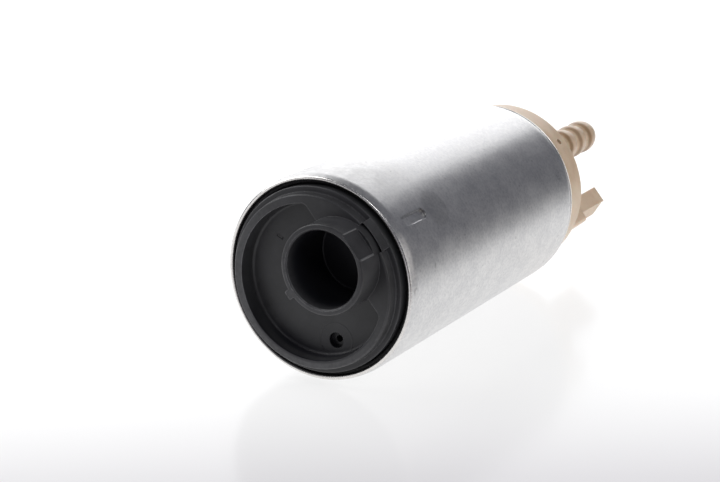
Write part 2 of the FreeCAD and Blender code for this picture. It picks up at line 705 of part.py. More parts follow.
def rotor_shaft():
    """Steel shaft with bevelled ends and a flat where the impeller sits."""
    bar = turned([
        (0, SHAFT_BOTTOM, 0),
        (SHAFT_R - SHAFT_CHAMFER, SHAFT_BOTTOM, 0),
        (SHAFT_R, SHAFT_BOTTOM + SHAFT_CHAMFER, 0),
        (SHAFT_R, SHAFT_TOP - SHAFT_CHAMFER, 0),
        (SHAFT_R - SHAFT_CHAMFER, SHAFT_TOP, 0),
        (0, SHAFT_TOP, 0),
    ])
    flat = block(2 * SHAFT_R - SHAFT_FLAT_DEPTH, 0, 2 * SHAFT_R, 3 * SHAFT_R, SHAFT_BOTTOM - 1, CHAMBER_FLOOR)
    return bar.cut(flat)


def slot_corners(inset):
    """Outline of one armature slot between two straight-sided teeth, drawn in by inset."""
    half_step = math.pi / SLOT_COUNT
    offset = (TOOTH_WIDTH / 2 + inset) / math.cos(half_step)
    near = SLOT_BOTTOM_R + inset
    far = (CORE_R - TOOTH_TIP) * math.cos(half_step) - inset
    near_half = near * math.tan(half_step) - offset
    far_half = far * math.tan(half_step) - offset
    return [
        (near, -near_half, SLOT_ROUND),
        (far, -far_half, SLOT_ROUND),
        (far, far_half, SLOT_ROUND),
        (near, near_half, SLOT_ROUND),
    ]


def lamination(bottom, top):
    """Armature section: toothed ring on the shaft, with slots that open at the rim."""
    stack = ring(CORE_R, SHAFT_R, bottom, top)
    slot = prism(slot_corners(0), bottom - 1, top + 1)
    mouth = block(CORE_R - TOOTH_TIP, 0, 3 * TOOTH_TIP, SLOT_MOUTH, bottom - 1, top + 1)
    return stack.cut(around(slot.fuse(mouth), SLOT_COUNT))


def armature_insulators():
    """A plastic star on each end of the stack."""
    lower = lamination(CORE_BOTTOM - INSULATOR_THICKNESS, CORE_BOTTOM)
    upper = lamination(CORE_TOP, CORE_TOP + INSULATOR_THICKNESS)
    return Part.makeCompound([lower, upper])


def armature_windings():
    """Copper bundles in the slots, joined by the round end turns."""
    low = CORE_BOTTOM - INSULATOR_THICKNESS
    high = CORE_TOP + INSULATOR_THICKNESS
    outer = (CORE_R - TOOTH_TIP) * math.cos(math.pi / SLOT_COUNT)
    bundle = prism(slot_corners(SLOT_LINER), low - 0.5, high + 0.5)
    rings = []
    for bottom, top in ((low - END_TURN_HEIGHT, low), (high, high + END_TURN_HEIGHT)):
        rings.append(turned([
            (END_TURN_INNER_R, bottom, END_TURN_ROUND),
            (outer, bottom, END_TURN_ROUND),
            (outer, top, END_TURN_ROUND),
            (END_TURN_INNER_R, top, END_TURN_ROUND),
        ]))
    return rings[0].fuse([rings[1]] + around(bundle, SLOT_COUNT))


def magnet(middle_angle):
    """Ferrite arc with rounded long edges."""
    bottom = CORE_MIDDLE - MAGNET_LENGTH / 2
    start = middle_angle - MAGNET_ANGLE / 2
    arc = sector(MAGNET_OUTER_R, MAGNET_INNER_R, bottom, bottom + MAGNET_LENGTH, start, start + MAGNET_ANGLE)
    long_edges = []
    for edge in arc.Edges:
        if abs(edge.Vertexes[0].Point.z - edge.Vertexes[-1].Point.z) > MAGNET_LENGTH / 2:
            long_edges.append(edge)
    return arc.makeFillet(MAGNET_ROUND, long_edges)


def magnet_springs():
    """Two bent strips that push the magnets apart in the gaps between them."""
    bottom = CORE_MIDDLE - CLIP_LENGTH / 2
    top = bottom + CLIP_LENGTH
    outer = MAGNET_OUTER_R - TOUCH_GAP
    half = (180 - MAGNET_ANGLE) / 2 - math.degrees(SLIDE_GAP / MAGNET_INNER_R)
    back = sector(outer, outer - CLIP_THICKNESS, bottom, top, -half, half)
    leg_angle = math.degrees(CLIP_THICKNESS / outer)
    legs = []
    for start in (-half, half - leg_angle):
        leg_outer = outer - CLIP_THICKNESS / 2
        legs.append(sector(leg_outer, outer - CLIP_LEG, bottom, top, start, start + leg_angle))
    clip = back.fuse(legs).removeSplitter()
    return Part.makeCompound(around(clip, 2))


def flux_ring():
    """Steel sleeve that closes the magnetic path behind the magnets."""
    bottom = CORE_MIDDLE - FLUX_RING_LENGTH / 2
    return ring(BODY_R, FLUX_RING_INNER_R, bottom, bottom + FLUX_RING_LENGTH)


def commutator_hub():
    """Moulded hub under the commutator segments."""
    return turned([
        (SHAFT_R, HUB_Z, 0),
        (HUB_R, HUB_Z, 0.3),
        (HUB_R, SEGMENT_Z, 0.3),
        (HUB_BOSS_R, SEGMENT_Z, 0),
        (HUB_BOSS_R, SEGMENT_TOP - 0.4, 0.2),
        (SHAFT_R, SEGMENT_TOP - 0.4, 0),
    ])


def commutator_segments():
    """Flat copper segments, parted by narrow slits."""
    inner = HUB_BOSS_R + TOUCH_GAP
    half = 180.0 / SEGMENT_COUNT - math.degrees(SEGMENT_GAP / 2 / BRUSH_PITCH_R)
    segment = sector(SEGMENT_OUTER_R, inner, SEGMENT_Z, SEGMENT_TOP, -half, half)
    return Part.makeCompound(around(segment, SEGMENT_COUNT))


def brush_holder():
    """Moulded plate with two closed brush guides, the upper bearing's boss and fuel holes."""
    plate = disc(BODY_R, HOLDER_Z, HOLDER_TOP)
    boss = disc(HOLDER_BOSS_R, HOLDER_Z, HOLDER_TOP + HOLDER_BOSS_HEIGHT)
    hole_radial = BRUSH_RADIAL + 2 * SLIDE_GAP
    hole_width = BRUSH_WIDTH + 2 * SLIDE_GAP
    guides = []
    holes = []
    for side in (-1, 1):
        y = side * BRUSH_PITCH_R
        radial = hole_radial + 2 * HOLDER_WALL
        width = hole_width + 2 * HOLDER_WALL
        guides.append(block(0, y, width, radial, HOLDER_Z, GUIDE_ROOF + HOLDER_WALL, 0.8))
        holes.append(block(0, y, hole_width, hole_radial, HOLDER_Z - 1, GUIDE_ROOF))
    holder = plate.fuse([boss] + guides)
    bearing_seat = disc(BEARING_R, HOLDER_Z - 1, UPPER_BEARING_Z + BEARING_LENGTH)
    cap_hole = disc(SHAFT_R + SHAFT_HOLE_GAP, HOLDER_Z, HOLDER_TOP + HOLDER_BOSS_HEIGHT + 1)
    fuel = disc(FUEL_HOLE_R, HOLDER_Z - 1, HOLDER_TOP + 1, FUEL_HOLE_PITCH_R)
    cuts = holes + [bearing_seat, cap_hole] + around(fuel, FUEL_HOLE_COUNT, 180.0 / FUEL_HOLE_COUNT)
    return holder.cut(cuts)


def brush(side):
    """Carbon brush in its guide; side is +1 for the connector side and -1 for the other."""
    return block(0, side * BRUSH_PITCH_R, BRUSH_WIDTH, BRUSH_RADIAL, BRUSH_Z, BRUSH_TOP, 0.3)


def brush_spring(name, side):
    """Coil spring between a brush and the roof of its guide."""
    spring = coil_spring(name, (BRUSH_WIRE_R, BRUSH_COIL_R, BRUSH_TURN_COUNT), BRUSH_TOP, GUIDE_ROOF)
    spring.translate(FreeCAD.Vector(0, side * BRUSH_PITCH_R, 0))
    return spring


def terminal_x(side):
    """Place of a terminal along the connector tower."""
    return TOWER_X + side * TERMINAL_PITCH / 2


def choke(side):
    """Ferrite rod choke standing on the brush holder: a rod with a thicker wound middle."""
    wound_low = HOLDER_TOP + (CHOKE_LENGTH - CHOKE_WIRE_LENGTH) / 2
    wound_high = wound_low + CHOKE_WIRE_LENGTH
    return turned([
        (0, HOLDER_TOP, 0),
        (CHOKE_CORE_R, HOLDER_TOP, 0.2),
        (CHOKE_CORE_R, wound_low, 0),
        (CHOKE_R, wound_low, 0.4),
        (CHOKE_R, wound_high, 0.4),
        (CHOKE_CORE_R, wound_high, 0),
        (CHOKE_CORE_R, CHOKE_TOP, 0.2),
        (0, CHOKE_TOP, 0),
    ], terminal_x(side), TOWER_Y)


def terminal(side):
    """Tab terminal from its choke up into the connector tower, with bevelled tip corners."""
    x = terminal_x(side)
    half = TERMINAL_WIDTH / 2
    corners = [
        (x - half, CHOKE_TOP + TOUCH_GAP, 0),
        (x + half, CHOKE_TOP + TOUCH_GAP, 0),
        (x + half, TERMINAL_TOP - half / 2, 0),
        (x + half / 2, TERMINAL_TOP, 0),
        (x - half / 2, TERMINAL_TOP, 0),
        (x - half, TERMINAL_TOP - half / 2, 0),
    ]
    back = TOWER_Y - TERMINAL_THICKNESS / 2
    face = Part.Face(corner_wire(corners, lambda a, b: FreeCAD.Vector(a, back, b)))
    return face.extrude(FreeCAD.Vector(0, TERMINAL_THICKNESS, 0))


def hose_nozzle():
    """Hose nozzle with rounded ridges, on a filleted root."""
    foot = OUTLET_FACE - 0.5
    tip = OUTLET_FACE + NOZZLE_LENGTH
    ridge_start = tip - NOZZLE_RIDGE_COUNT * NOZZLE_RIDGE_PITCH
    points = [FreeCAD.Vector(0, 0, foot), FreeCAD.Vector(NOZZLE_STEM_R + NOZZLE_ROOT_ROUND, 0, foot)]
    root = FreeCAD.Vector(NOZZLE_STEM_R + NOZZLE_ROOT_ROUND, 0, OUTLET_FACE)
    bend = NOZZLE_ROOT_ROUND * (1 - math.sqrt(0.5))
    root_middle = FreeCAD.Vector(NOZZLE_STEM_R + bend, 0, OUTLET_FACE + bend)
    root_end = FreeCAD.Vector(NOZZLE_STEM_R, 0, OUTLET_FACE + NOZZLE_ROOT_ROUND)
    stem_end = FreeCAD.Vector(NOZZLE_STEM_R, 0, ridge_start)
    here = FreeCAD.Vector(NOZZLE_GROOVE_R, 0, ridge_start)
    edges = [Part.makeLine(points[0], points[1]), Part.makeLine(points[1], root)]
    edges.append(Part.Arc(root, root_middle, root_end).toShape())
    edges.append(Part.makeLine(root_end, stem_end))
    edges.append(Part.makeLine(stem_end, here))
    for index in range(NOZZLE_RIDGE_COUNT):
        crest = here + FreeCAD.Vector(NOZZLE_RIDGE_R - NOZZLE_GROOVE_R, 0, NOZZLE_RIDGE_PITCH / 2)
        after = here + FreeCAD.Vector(0, 0, NOZZLE_RIDGE_PITCH)
        edges.append(Part.Arc(here, crest, after).toShape())
        here = after
    edges.append(Part.makeLine(here, FreeCAD.Vector(0, 0, tip)))
    edges.append(Part.makeLine(FreeCAD.Vector(0, 0, tip), points[0]))
    solid = Part.Face(Part.Wire(edges)).revolve(FreeCAD.Vector(0, 0, 0), FreeCAD.Vector(0, 0, 1), 360)
    solid.translate(FreeCAD.Vector(NOZZLE_X, NOZZLE_Y, 0))
    return solid


def key_rib():
    """Keying rib on the tower's outer side: one flank is sloped, and its top has a lead-in slope."""
    outer_y = TOWER_Y + TOWER_WIDTH / 2
    crest_y = outer_y + KEY_RIB_REACH
    inner_y = outer_y - TOWER_WALL
    foot = OUTLET_FACE - 0.5
    top = OUTLET_FACE + TOWER_HEIGHT - KEY_RIB_DROP
    near_x = TOWER_X + TOWER_LENGTH / 2 - KEY_RIB_SETBACK
    far_x = near_x - KEY_RIB_LENGTH
    rib = prism([
        (far_x, inner_y, 0),
        (near_x, inner_y, 0),
        (near_x, outer_y, 0),
        (near_x - KEY_RIB_SLOPE, crest_y, KEY_RIB_ROUND),
        (far_x, crest_y, KEY_RIB_ROUND),
    ], foot, top)
    side_corners = [
        (inner_y, foot, 0),
        (crest_y, foot, 0),
        (crest_y, top - KEY_RIB_RAMP, KEY_RIB_RAMP / 2),
        (outer_y, top, 0),
        (inner_y, top, 0),
    ]
    side = Part.Face(corner_wire(side_corners, lambda a, b: FreeCAD.Vector(far_x - 1, a, b)))
    return rib.common(side.extrude(FreeCAD.Vector(KEY_RIB_LENGTH + 2, 0, 0)))


def connector_tower():
    """Slim connector tower with a keying rib, on a foot that is thicker on its outer side."""
    foot = OUTLET_FACE - 0.5
    tower = block(TOWER_X, TOWER_Y, TOWER_LENGTH, TOWER_WIDTH, foot, OUTLET_FACE + TOWER_HEIGHT, TOWER_ROUND)
    step_x = TOWER_X + TOWER_LENGTH / 2 - TOWER_FOOT_LENGTH / 2
    step_width = TOWER_FOOT_ROUND + TOWER_FOOT_REACH
    step_y = TOWER_Y + TOWER_WIDTH / 2 - TOWER_FOOT_ROUND + step_width / 2
    step_top = OUTLET_FACE + TOWER_FOOT_HEIGHT
    step = block(step_x, step_y, TOWER_FOOT_LENGTH, step_width, foot, step_top, TOWER_FOOT_ROUND)
    return tower.fuse([key_rib(), step])


def outlet_cover():
    """Moulded outlet cover: capped skirt, hose nozzle, connector tower and the bosses of both valves."""
    inner_r = OUTLET_R - OUTLET_WALL
    body = turned([
        (inner_r, HOLDER_TOP, 0),
        (BODY_R, HOLDER_TOP, 0.3),
        (BODY_R, OUTLET_SEAL_START, 0.2),
        (FLANGE_R, OUTLET_SEAL_START, 0),
        (FLANGE_R, CAN_LENGTH - SEAL_START / 2, 0),
        (OUTLET_R, CAN_LENGTH - SEAL_START / 2 + 0.4, 0),
        (OUTLET_R, OUTLET_FACE, OUTLET_ROUND),
        (0, OUTLET_FACE, 0),
        (0, OUTLET_CEILING, 0),
        (inner_r, OUTLET_CEILING, 1.0),
    ])
    check_boss_r = CHECK_CHAMBER_R + CHECK_BOSS_WALL
    check_boss = disc(check_boss_r, CHECK_SEAT_Z, OUTLET_CEILING + 0.5, NOZZLE_X, NOZZLE_Y)
    check_boss = check_boss.common(disc(OUTLET_R - 0.5, CHECK_SEAT_Z - 1, OUTLET_FACE))
    relief_boss_r = RELIEF_CHAMBER_R + RELIEF_BOSS_WALL
    relief_boss = disc(relief_boss_r, RELIEF_SEAT_Z, OUTLET_CEILING + 0.5, RELIEF_X, RELIEF_Y)
    body = body.fuse([check_boss, relief_boss, hose_nozzle(), connector_tower()])
    tip = OUTLET_FACE + NOZZLE_LENGTH
    passage = disc(NOZZLE_BORE_R, CHECK_CEILING - 1, tip + 1, NOZZLE_X, NOZZLE_Y)
    check_chamber = disc(CHECK_CHAMBER_R, CHECK_SEAT_Z - 1, CHECK_CEILING, NOZZLE_X, NOZZLE_Y)
    relief_chamber = disc(RELIEF_CHAMBER_R, RELIEF_SEAT_Z - 1, RELIEF_CEILING, RELIEF_X, RELIEF_Y)
    relief_vent = disc(RELIEF_VENT_R, RELIEF_CEILING - 1, OUTLET_FACE + 1, RELIEF_X, RELIEF_Y)
    tower_top = OUTLET_FACE + TOWER_HEIGHT
    socket_length = TOWER_LENGTH - 2 * TOWER_WALL
    socket_width = TOWER_WIDTH - 2 * TOWER_WALL
    socket = block(TOWER_X, TOWER_Y, socket_length, socket_width, tower_top - SOCKET_DEPTH, tower_top + 1)
    cuts = [passage, check_chamber, relief_chamber, relief_vent, socket]
    for side in (-1, 1):
        x = terminal_x(side)
        cuts.append(block(x, TOWER_Y, TERMINAL_WIDTH, TERMINAL_THICKNESS, OUTLET_CEILING - 1, tower_top))
    start = FreeCAD.Vector(OUTLET_R - BLEED_HOLE_DEPTH, 0, CAN_LENGTH + BLEED_HOLE_HEIGHT)
    bleed = Part.makeCylinder(BLEED_HOLE_R, BLEED_HOLE_DEPTH + 1, start, FreeCAD.Vector(1, 0, 0))
    cuts += around(bleed, 1, BLEED_HOLE_ANGLE)
    return body.cut(cuts).removeSplitter()


def check_valve_seat():
    """Brass ring pressed into the mouth of the check valve chamber."""
    return ring(CHECK_CHAMBER_R, CHECK_SEAT_R, CHECK_SEAT_Z, CHECK_SEAT_TOP, NOZZLE_X, NOZZLE_Y)


def check_valve_poppet():
    """Mushroom poppet: a cone that dips into the seat, a flat head and a stem inside the spring."""
    base = CHECK_SEAT_TOP + TOUCH_GAP
    nose_r = CHECK_SEAT_R - SLIDE_GAP
    return turned([
        (0, base - CHECK_NOSE_HEIGHT, 0),
        (nose_r * 0.6, base - CHECK_NOSE_HEIGHT, 0.2),
        (nose_r, base, 0),
        (CHECK_HEAD_R, base, 0.2),
        (CHECK_HEAD_R, base + CHECK_HEAD_HEIGHT, 0.4),
        (CHECK_STEM_R, base + CHECK_HEAD_HEIGHT, 0.2),
        (CHECK_STEM_R, base + CHECK_HEAD_HEIGHT + CHECK_STEM_HEIGHT, 0.4),
        (0, base + CHECK_HEAD_HEIGHT + CHECK_STEM_HEIGHT, 0),
    ], NOZZLE_X, NOZZLE_Y)


def check_valve_spring():
    """Coil spring between the poppet's head and the roof of its chamber."""
    base = CHECK_SEAT_TOP + TOUCH_GAP + CHECK_HEAD_HEIGHT
    coil = (CHECK_WIRE_R, CHECK_COIL_R, CHECK_TURN_COUNT)
    spring = coil_spring("check_valve_spring", coil, base, CHECK_CEILING)
    spring.translate(FreeCAD.Vector(NOZZLE_X, NOZZLE_Y, 0))
    return spring


def relief_ball_centre():
    """Height at which the ball rests on the edge of its seat."""
    rest = math.sqrt(RELIEF_BALL_R ** 2 - RELIEF_SEAT_R ** 2)
    return RELIEF_SEAT_TOP + rest + TOUCH_GAP


def relief_valve_seat():
    """Brass ring pressed into the mouth of the relief chamber."""
    return ring(RELIEF_CHAMBER_R, RELIEF_SEAT_R, RELIEF_SEAT_Z, RELIEF_SEAT_TOP, RELIEF_X, RELIEF_Y)


def relief_valve_ball():
    """Steel ball on the relief seat."""
    return Part.makeSphere(RELIEF_BALL_R, FreeCAD.Vector(RELIEF_X, RELIEF_Y, relief_ball_centre()))


def relief_valve_spring():
    """Coil spring between the ball's crown and the roof of its chamber."""
    contact = math.sqrt((RELIEF_BALL_R + RELIEF_WIRE_R) ** 2 - RELIEF_COIL_R ** 2)
    base = relief_ball_centre() + contact - RELIEF_WIRE_R
    coil = (RELIEF_WIRE_R, RELIEF_COIL_R, RELIEF_TURN_COUNT)
    spring = coil_spring("relief_valve_spring", coil, base, RELIEF_CEILING)
    spring.translate(FreeCAD.Vector(RELIEF_X, RELIEF_Y, 0))
    return spring


def lay_down(shape):
    """Turn a standing piece so that its axis lies along +Y and centre the can on the origin."""
    c = math.cos(math.radians(KEY_ANGLE))
    s = math.sin(math.radians(KEY_ANGLE))
    turn = FreeCAD.Matrix(c, s, 0, 0, 0, 0, 1, -CAN_LENGTH / 2, s, -c, 0, 0, 0, 0, 0, 1)
    laid = shape.copy()
    laid.Placement = FreeCAD.Placement(turn).multiply(shape.Placement)
    return laid


def pieces():
    """All pieces by name, standing up."""
    return {
        "housing_can": housing_can(),
        "inlet_cover": inlet_cover(),
        "inlet_seal_ring": seal_ring(SEAL_START),
        "thrust_button": thrust_button(),
        "impeller": impeller(),
        "pump_casing": pump_casing(),
        "lower_bearing": bearing(LOWER_BEARING_Z),
        "upper_bearing": bearing(UPPER_BEARING_Z),
        "rotor_shaft": rotor_shaft(),
        "armature_core": lamination(CORE_BOTTOM, CORE_TOP),
        "armature_insulators": armature_insulators(),
        "armature_windings": armature_windings(),
        "magnet_north": magnet(90),
        "magnet_south": magnet(270),
        "magnet_springs": magnet_springs(),
        "flux_ring": flux_ring(),
        "commutator_hub": commutator_hub(),
        "commutator_segments": commutator_segments(),
        "brush_holder": brush_holder(),
        "brush_positive": brush(1),
        "brush_negative": brush(-1),
        "brush_spring_positive": brush_spring("brush_spring_positive", 1),
        "brush_spring_negative": brush_spring("brush_spring_negative", -1),
        "choke_positive": choke(1),
        "choke_negative": choke(-1),
        "terminal_positive": terminal(1),
        "terminal_negative": terminal(-1),
        "outlet_cover": outlet_cover(),
        "outlet_seal_ring": seal_ring(OUTLET_SEAL_START),
        "check_valve_seat": check_valve_seat(),
        "check_valve_poppet": check_valve_poppet(),
        "check_valve_spring": check_valve_spring(),
        "relief_valve_seat": relief_valve_seat(),
        "relief_valve_ball": relief_valve_ball(),
        "relief_valve_spring": relief_valve_spring(),
    }


os.makedirs("parts", exist_ok=True)
for node, shape in pieces().items():
    laid = lay_down(shape)
    laid.exportStep(f"parts/{node}.step")
    print(node, "solids", len(laid.Solids), "valid", laid.isValid(), "volume", round(laid.Volume, 1))
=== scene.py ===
"""Looks of an electric fuel pump: finishes, moulded marks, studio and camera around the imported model."""

import logging
import math
from abc import ABC, abstractmethod
from dataclasses import dataclass
from enum import Enum
from typing import Any, Mapping, Sequence

import bpy
import numpy as np
from bpy.types import ID, Material, Node, NodeSocket, Object, World
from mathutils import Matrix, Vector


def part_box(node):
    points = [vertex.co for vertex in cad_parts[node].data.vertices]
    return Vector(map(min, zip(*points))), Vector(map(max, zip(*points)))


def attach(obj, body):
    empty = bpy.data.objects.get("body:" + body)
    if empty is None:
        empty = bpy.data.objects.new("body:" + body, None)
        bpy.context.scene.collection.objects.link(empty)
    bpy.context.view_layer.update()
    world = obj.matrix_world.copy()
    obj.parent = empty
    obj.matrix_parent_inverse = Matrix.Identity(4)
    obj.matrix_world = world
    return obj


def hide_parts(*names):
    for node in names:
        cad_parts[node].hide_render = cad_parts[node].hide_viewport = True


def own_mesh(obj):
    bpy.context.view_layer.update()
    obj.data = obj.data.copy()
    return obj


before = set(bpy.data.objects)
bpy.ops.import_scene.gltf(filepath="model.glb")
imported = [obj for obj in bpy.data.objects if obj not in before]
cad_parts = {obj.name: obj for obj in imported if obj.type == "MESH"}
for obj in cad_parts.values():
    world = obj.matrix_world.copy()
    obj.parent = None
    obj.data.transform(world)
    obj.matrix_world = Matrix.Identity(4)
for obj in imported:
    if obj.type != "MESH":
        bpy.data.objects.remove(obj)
log = logging.getLogger("fuel_pump")

MM = 0.001  # metres in a millimetre
WHITE = (1.0, 1.0, 1.0)

Triple = tuple[float, float, float]  # one number to each axis
Colour = tuple[float, float, float]  # linear red, green and blue
Paint = Colour | NodeSocket  # a colour, or a socket that gives one

# Where a smooth step is 0, and where it is 1. Along the pump, up or from an axis (wall) it is in millimetres.
Span = tuple[float, float]
Centre = tuple[float, float]  # x and z of a line along the pump, in millimetres


# ---- Shader maths


class Value:
    """A shader socket that takes part in Python expressions, adding its Math nodes as it goes."""

    def __init__(self, graph: "Tree", socket: NodeSocket) -> None:
        """Wrap a socket of a graph.

        Args:
            graph: The graph that the socket belongs to.
            socket: The output socket.
        """
        self.graph = graph
        self.socket = socket

    def math(self, operation: str, *others: "Value | float") -> "Value":
        """Apply a Math node.

        Args:
            operation: The node's operation.
            others: The operation's further inputs.

        Returns:
            The result.
        """
        inputs = dict(enumerate((self, *others)))
        node = self.graph.node("ShaderNodeMath", inputs, operation=operation)
        return Value(self.graph, node.outputs[0])

    def __add__(self, other: "Value | float") -> "Value":
        """Sum."""
        return self.math("ADD", other)

    __radd__ = __add__

    def __sub__(self, other: "Value | float") -> "Value":
        """Difference."""
        return self.math("SUBTRACT", other)

    def __rsub__(self, other: float) -> "Value":
        """Difference with a number on the left."""
        return self * -1.0 + other

    def __mul__(self, other: "Value | float") -> "Value":
        """Product."""
        return self.math("MULTIPLY", other)

    def __truediv__(self, other: "Value | float") -> "Value":
        """Quotient."""
        return self.math("DIVIDE", other)

    def __pow__(self, other: "Value | float") -> "Value":
        """Power."""
        return self.math("POWER", other)

    def __abs__(self) -> "Value":
        """Size without sign."""
        return self.math("ABSOLUTE")

    def hypot(self, other: "Value") -> "Value":
        """Length of a vector.

        Args:
            other: The vector's other component.

        Returns:
            The length.
        """
        return (self * self + other * other) ** 0.5

    def turned(self, other: "Value", degrees: float) -> tuple["Value", "Value"]:
        """Components of a vector in axes that are turned.

        Args:
            other: The vector's other component.
            degrees: How far the axes are turned from this component towards the other.

        Returns:
            The two components.
        """
        c, s = math.cos(math.radians(degrees)), math.sin(math.radians(degrees))
        return self * c + other * s, other * c - self * s

    def swing(self, amount: float = 0.2) -> "Value":
        """How far a noise is from its middle.

        Args:
            amount: Change of the result where the noise goes from 0 to 1.

        Returns:
            The deviation.
        """
        return (self - 0.5) * amount

    def within(self, low: float, high: float) -> "Value":
        """Smooth step from 0 at low to 1 at high, or falling where high is below low.

        Args:
            low: Where the result is 0.
            high: Where the result is 1.

        Returns:
            The step.
        """
        falls = high < low
        inputs = {
            "Value": self,
            "From Min": min(low, high),
            "From Max": max(low, high),
            "To Min": 1.0 if falls else 0.0,
            "To Max": 0.0 if falls else 1.0,
        }
        node = self.graph.node("ShaderNodeMapRange", inputs, interpolation_type="SMOOTHSTEP")
        return Value(self.graph, node.outputs["Result"])


class Tree:
    """Node tree of a material or a world."""

    def __init__(self, owner: Material | World) -> None:
        """Empty the tree of its owner.

        Args:
            owner: The material or world.
        """
        owner.use_nodes = True
        self.tree = owner.node_tree
        self.tree.nodes.clear()

    def plug(self, target: NodeSocket, value: Any) -> None:
        """Link an input socket, or set it.

        Args:
            target: The input socket.
            value: An output socket, a Value, or what the socket is set to.
        """
        if isinstance(value, Value):
            value = value.socket
        if isinstance(value, NodeSocket):
            self.tree.links.new(value, target)
        else:
            target.default_value = value

    def node(self, kind: str, inputs: Mapping[str | int, Any] | None = None, **settings: Any) -> Node:
        """Add a node.

        Args:
            kind: The node's type.
            inputs: Values or links of its input sockets, by name or index.
            settings: Attributes such as an operation, which are set first.

        Returns:
            The node.
        """
        node = self.tree.nodes.new(kind)
        for name, value in settings.items():
            setattr(node, name, value)
        for key, value in (inputs or {}).items():
            self.plug(node.inputs[key], value)
        return node


class Graph(Tree):
    """A material's node tree round one Principled BSDF, with x, y and z for the object's own millimetres."""

    EDGE_SPAN: Span = (0.995, 0.9)

    def __init__(self, name: str) -> None:
        """Start a material.

        Args:
            name: The material's name.
        """
        self.material = bpy.data.materials.new(name)
        super().__init__(self.material)
        self.surface = self.node("ShaderNodeBsdfPrincipled")
        self.output = self.node("ShaderNodeOutputMaterial", {"Surface": self.surface.outputs["BSDF"]})
        self.place = self.node("ShaderNodeTexCoord").outputs["Object"]
        split = self.node("ShaderNodeSeparateXYZ", {0: self.place})
        self.x, self.y, self.z = (Value(self, split.outputs[axis]) * (1.0 / MM) for axis in "XYZ")

    def from_axis(self, x: float = 0.0, z: float = 0.0) -> Value:
        """Distance from a line that runs along the pump, in millimetres.

        Args:
            x: The line's X in millimetres.
            z: The line's Z in millimetres.

        Returns:
            The distance.
        """
        return (self.x - x).hypot(self.z - z)

    def noise(
        self,
        size_mm: float,
        detail: float = 4.0,
        roughness: float = 0.6,
        stretch: Triple | None = None,
        distortion: float = 0.0,
    ) -> Value:
        """Soft noise with features of about a given size.

        Args:
            size_mm: Size of the features in millimetres.
            detail: Number of finer layers.
            roughness: Strength of the finer layers.
            stretch: Factors of the object's coordinates, or None for 1.
            distortion: How far the pattern is warped.

        Returns:
            The noise, from 0 to 1.
        """
        vector = self.place
        if stretch is not None:
            mapping = self.node("ShaderNodeMapping", {"Vector": vector, "Scale": stretch})
            vector = mapping.outputs["Vector"]
        inputs = {"Vector": vector, "Scale": 1.0 / (size_mm * MM), "Detail": detail, "Roughness": roughness}
        node = self.node("ShaderNodeTexNoise", {**inputs, "Distortion": distortion})
        return Value(self, node.outputs[0])

    def blend(self, factor: Value | float, first: Paint, second: Paint) -> NodeSocket:
        """Mix two colours.

        Args:
            factor: Share of the second colour.
            first: Colour or socket.
            second: Colour or socket.

        Returns:
            The mixed colour.
        """
        colours = [c if isinstance(c, NodeSocket) else (*c, 1.0) for c in (first, second)]
        node = self.node("ShaderNodeMix", {0: factor, 6: colours[0], 7: colours[1]}, data_type="RGBA")
        return node.outputs[2]

    def relief(self, layers: Sequence[tuple[Value, float]], edge_mm: float = 0.0) -> NodeSocket:
        """Chain bump layers.

        Args:
            layers: Pairs of height, from 0 to 1, and its full depth in millimetres.
            edge_mm: Radius to which sharp edges look rounded under the layers, or 0 for none.

        Returns:
            The bent normal.
        """
        normal = None
        if edge_mm:
            bevel = self.node("ShaderNodeBevel", {"Radius": edge_mm * MM}, samples=6)
            normal = bevel.outputs["Normal"]
        for height, depth_mm in layers:
            inputs: dict[str | int, Any] = {"Height": height, "Distance": depth_mm * MM, "Strength": 1.0}
            if normal is not None:
                inputs["Normal"] = normal
            normal = self.node("ShaderNodeBump", inputs).outputs["Normal"]
        return normal

    def edges(self, radius_mm: float) -> Value:
        """Mask of the convex edges, where a bevelled normal leaves the true one.

        Args:
            radius_mm: Reach of the bevel in millimetres.

        Returns:
            About 1 on edges and 0 on flat faces.
        """
        bevel = self.node("ShaderNodeBevel", {"Radius": radius_mm * MM}, samples=4)
        true = self.node("ShaderNodeNewGeometry").outputs["Normal"]
        dot = self.node("ShaderNodeVectorMath", {0: bevel.outputs[0], 1: true}, operation="DOT_PRODUCT")
        return Value(self, dot.outputs["Value"]).within(*self.EDGE_SPAN)

    def finish(self, **sockets: Any) -> Material:
        """Set the Principled BSDF's sockets and return the material.

        Args:
            sockets: Socket names, with _ for each space, and their values or links.

        Returns:
            The material.
        """
        for name, value in sockets.items():
            self.plug(self.surface.inputs[name.replace("_", " ")], value)
        return self.material


# ---- Finishes


@dataclass(frozen=True)
class Finish(ABC):
    """A finish, which may have stains and painted shade over it and marks in it."""

    name: str

    @abstractmethod
    def material(self) -> Material:
        """Build the finish.

        Returns:
            The material.
        """

    def stain_and_shade(self, graph: Graph) -> Value | float:
        """Share of the colour of stains and painted shade over the surface.

        Args:
            graph: The finish's graph.

        Returns:
            The share.
        """
        return 0.0

    def marks(self, graph: Graph) -> list[tuple[Value, float]]:
        """Marks left by the press or the mould.

        Args:
            graph: The finish's graph.

        Returns:
            Pairs of height and depth in millimetres.
        """
        return []


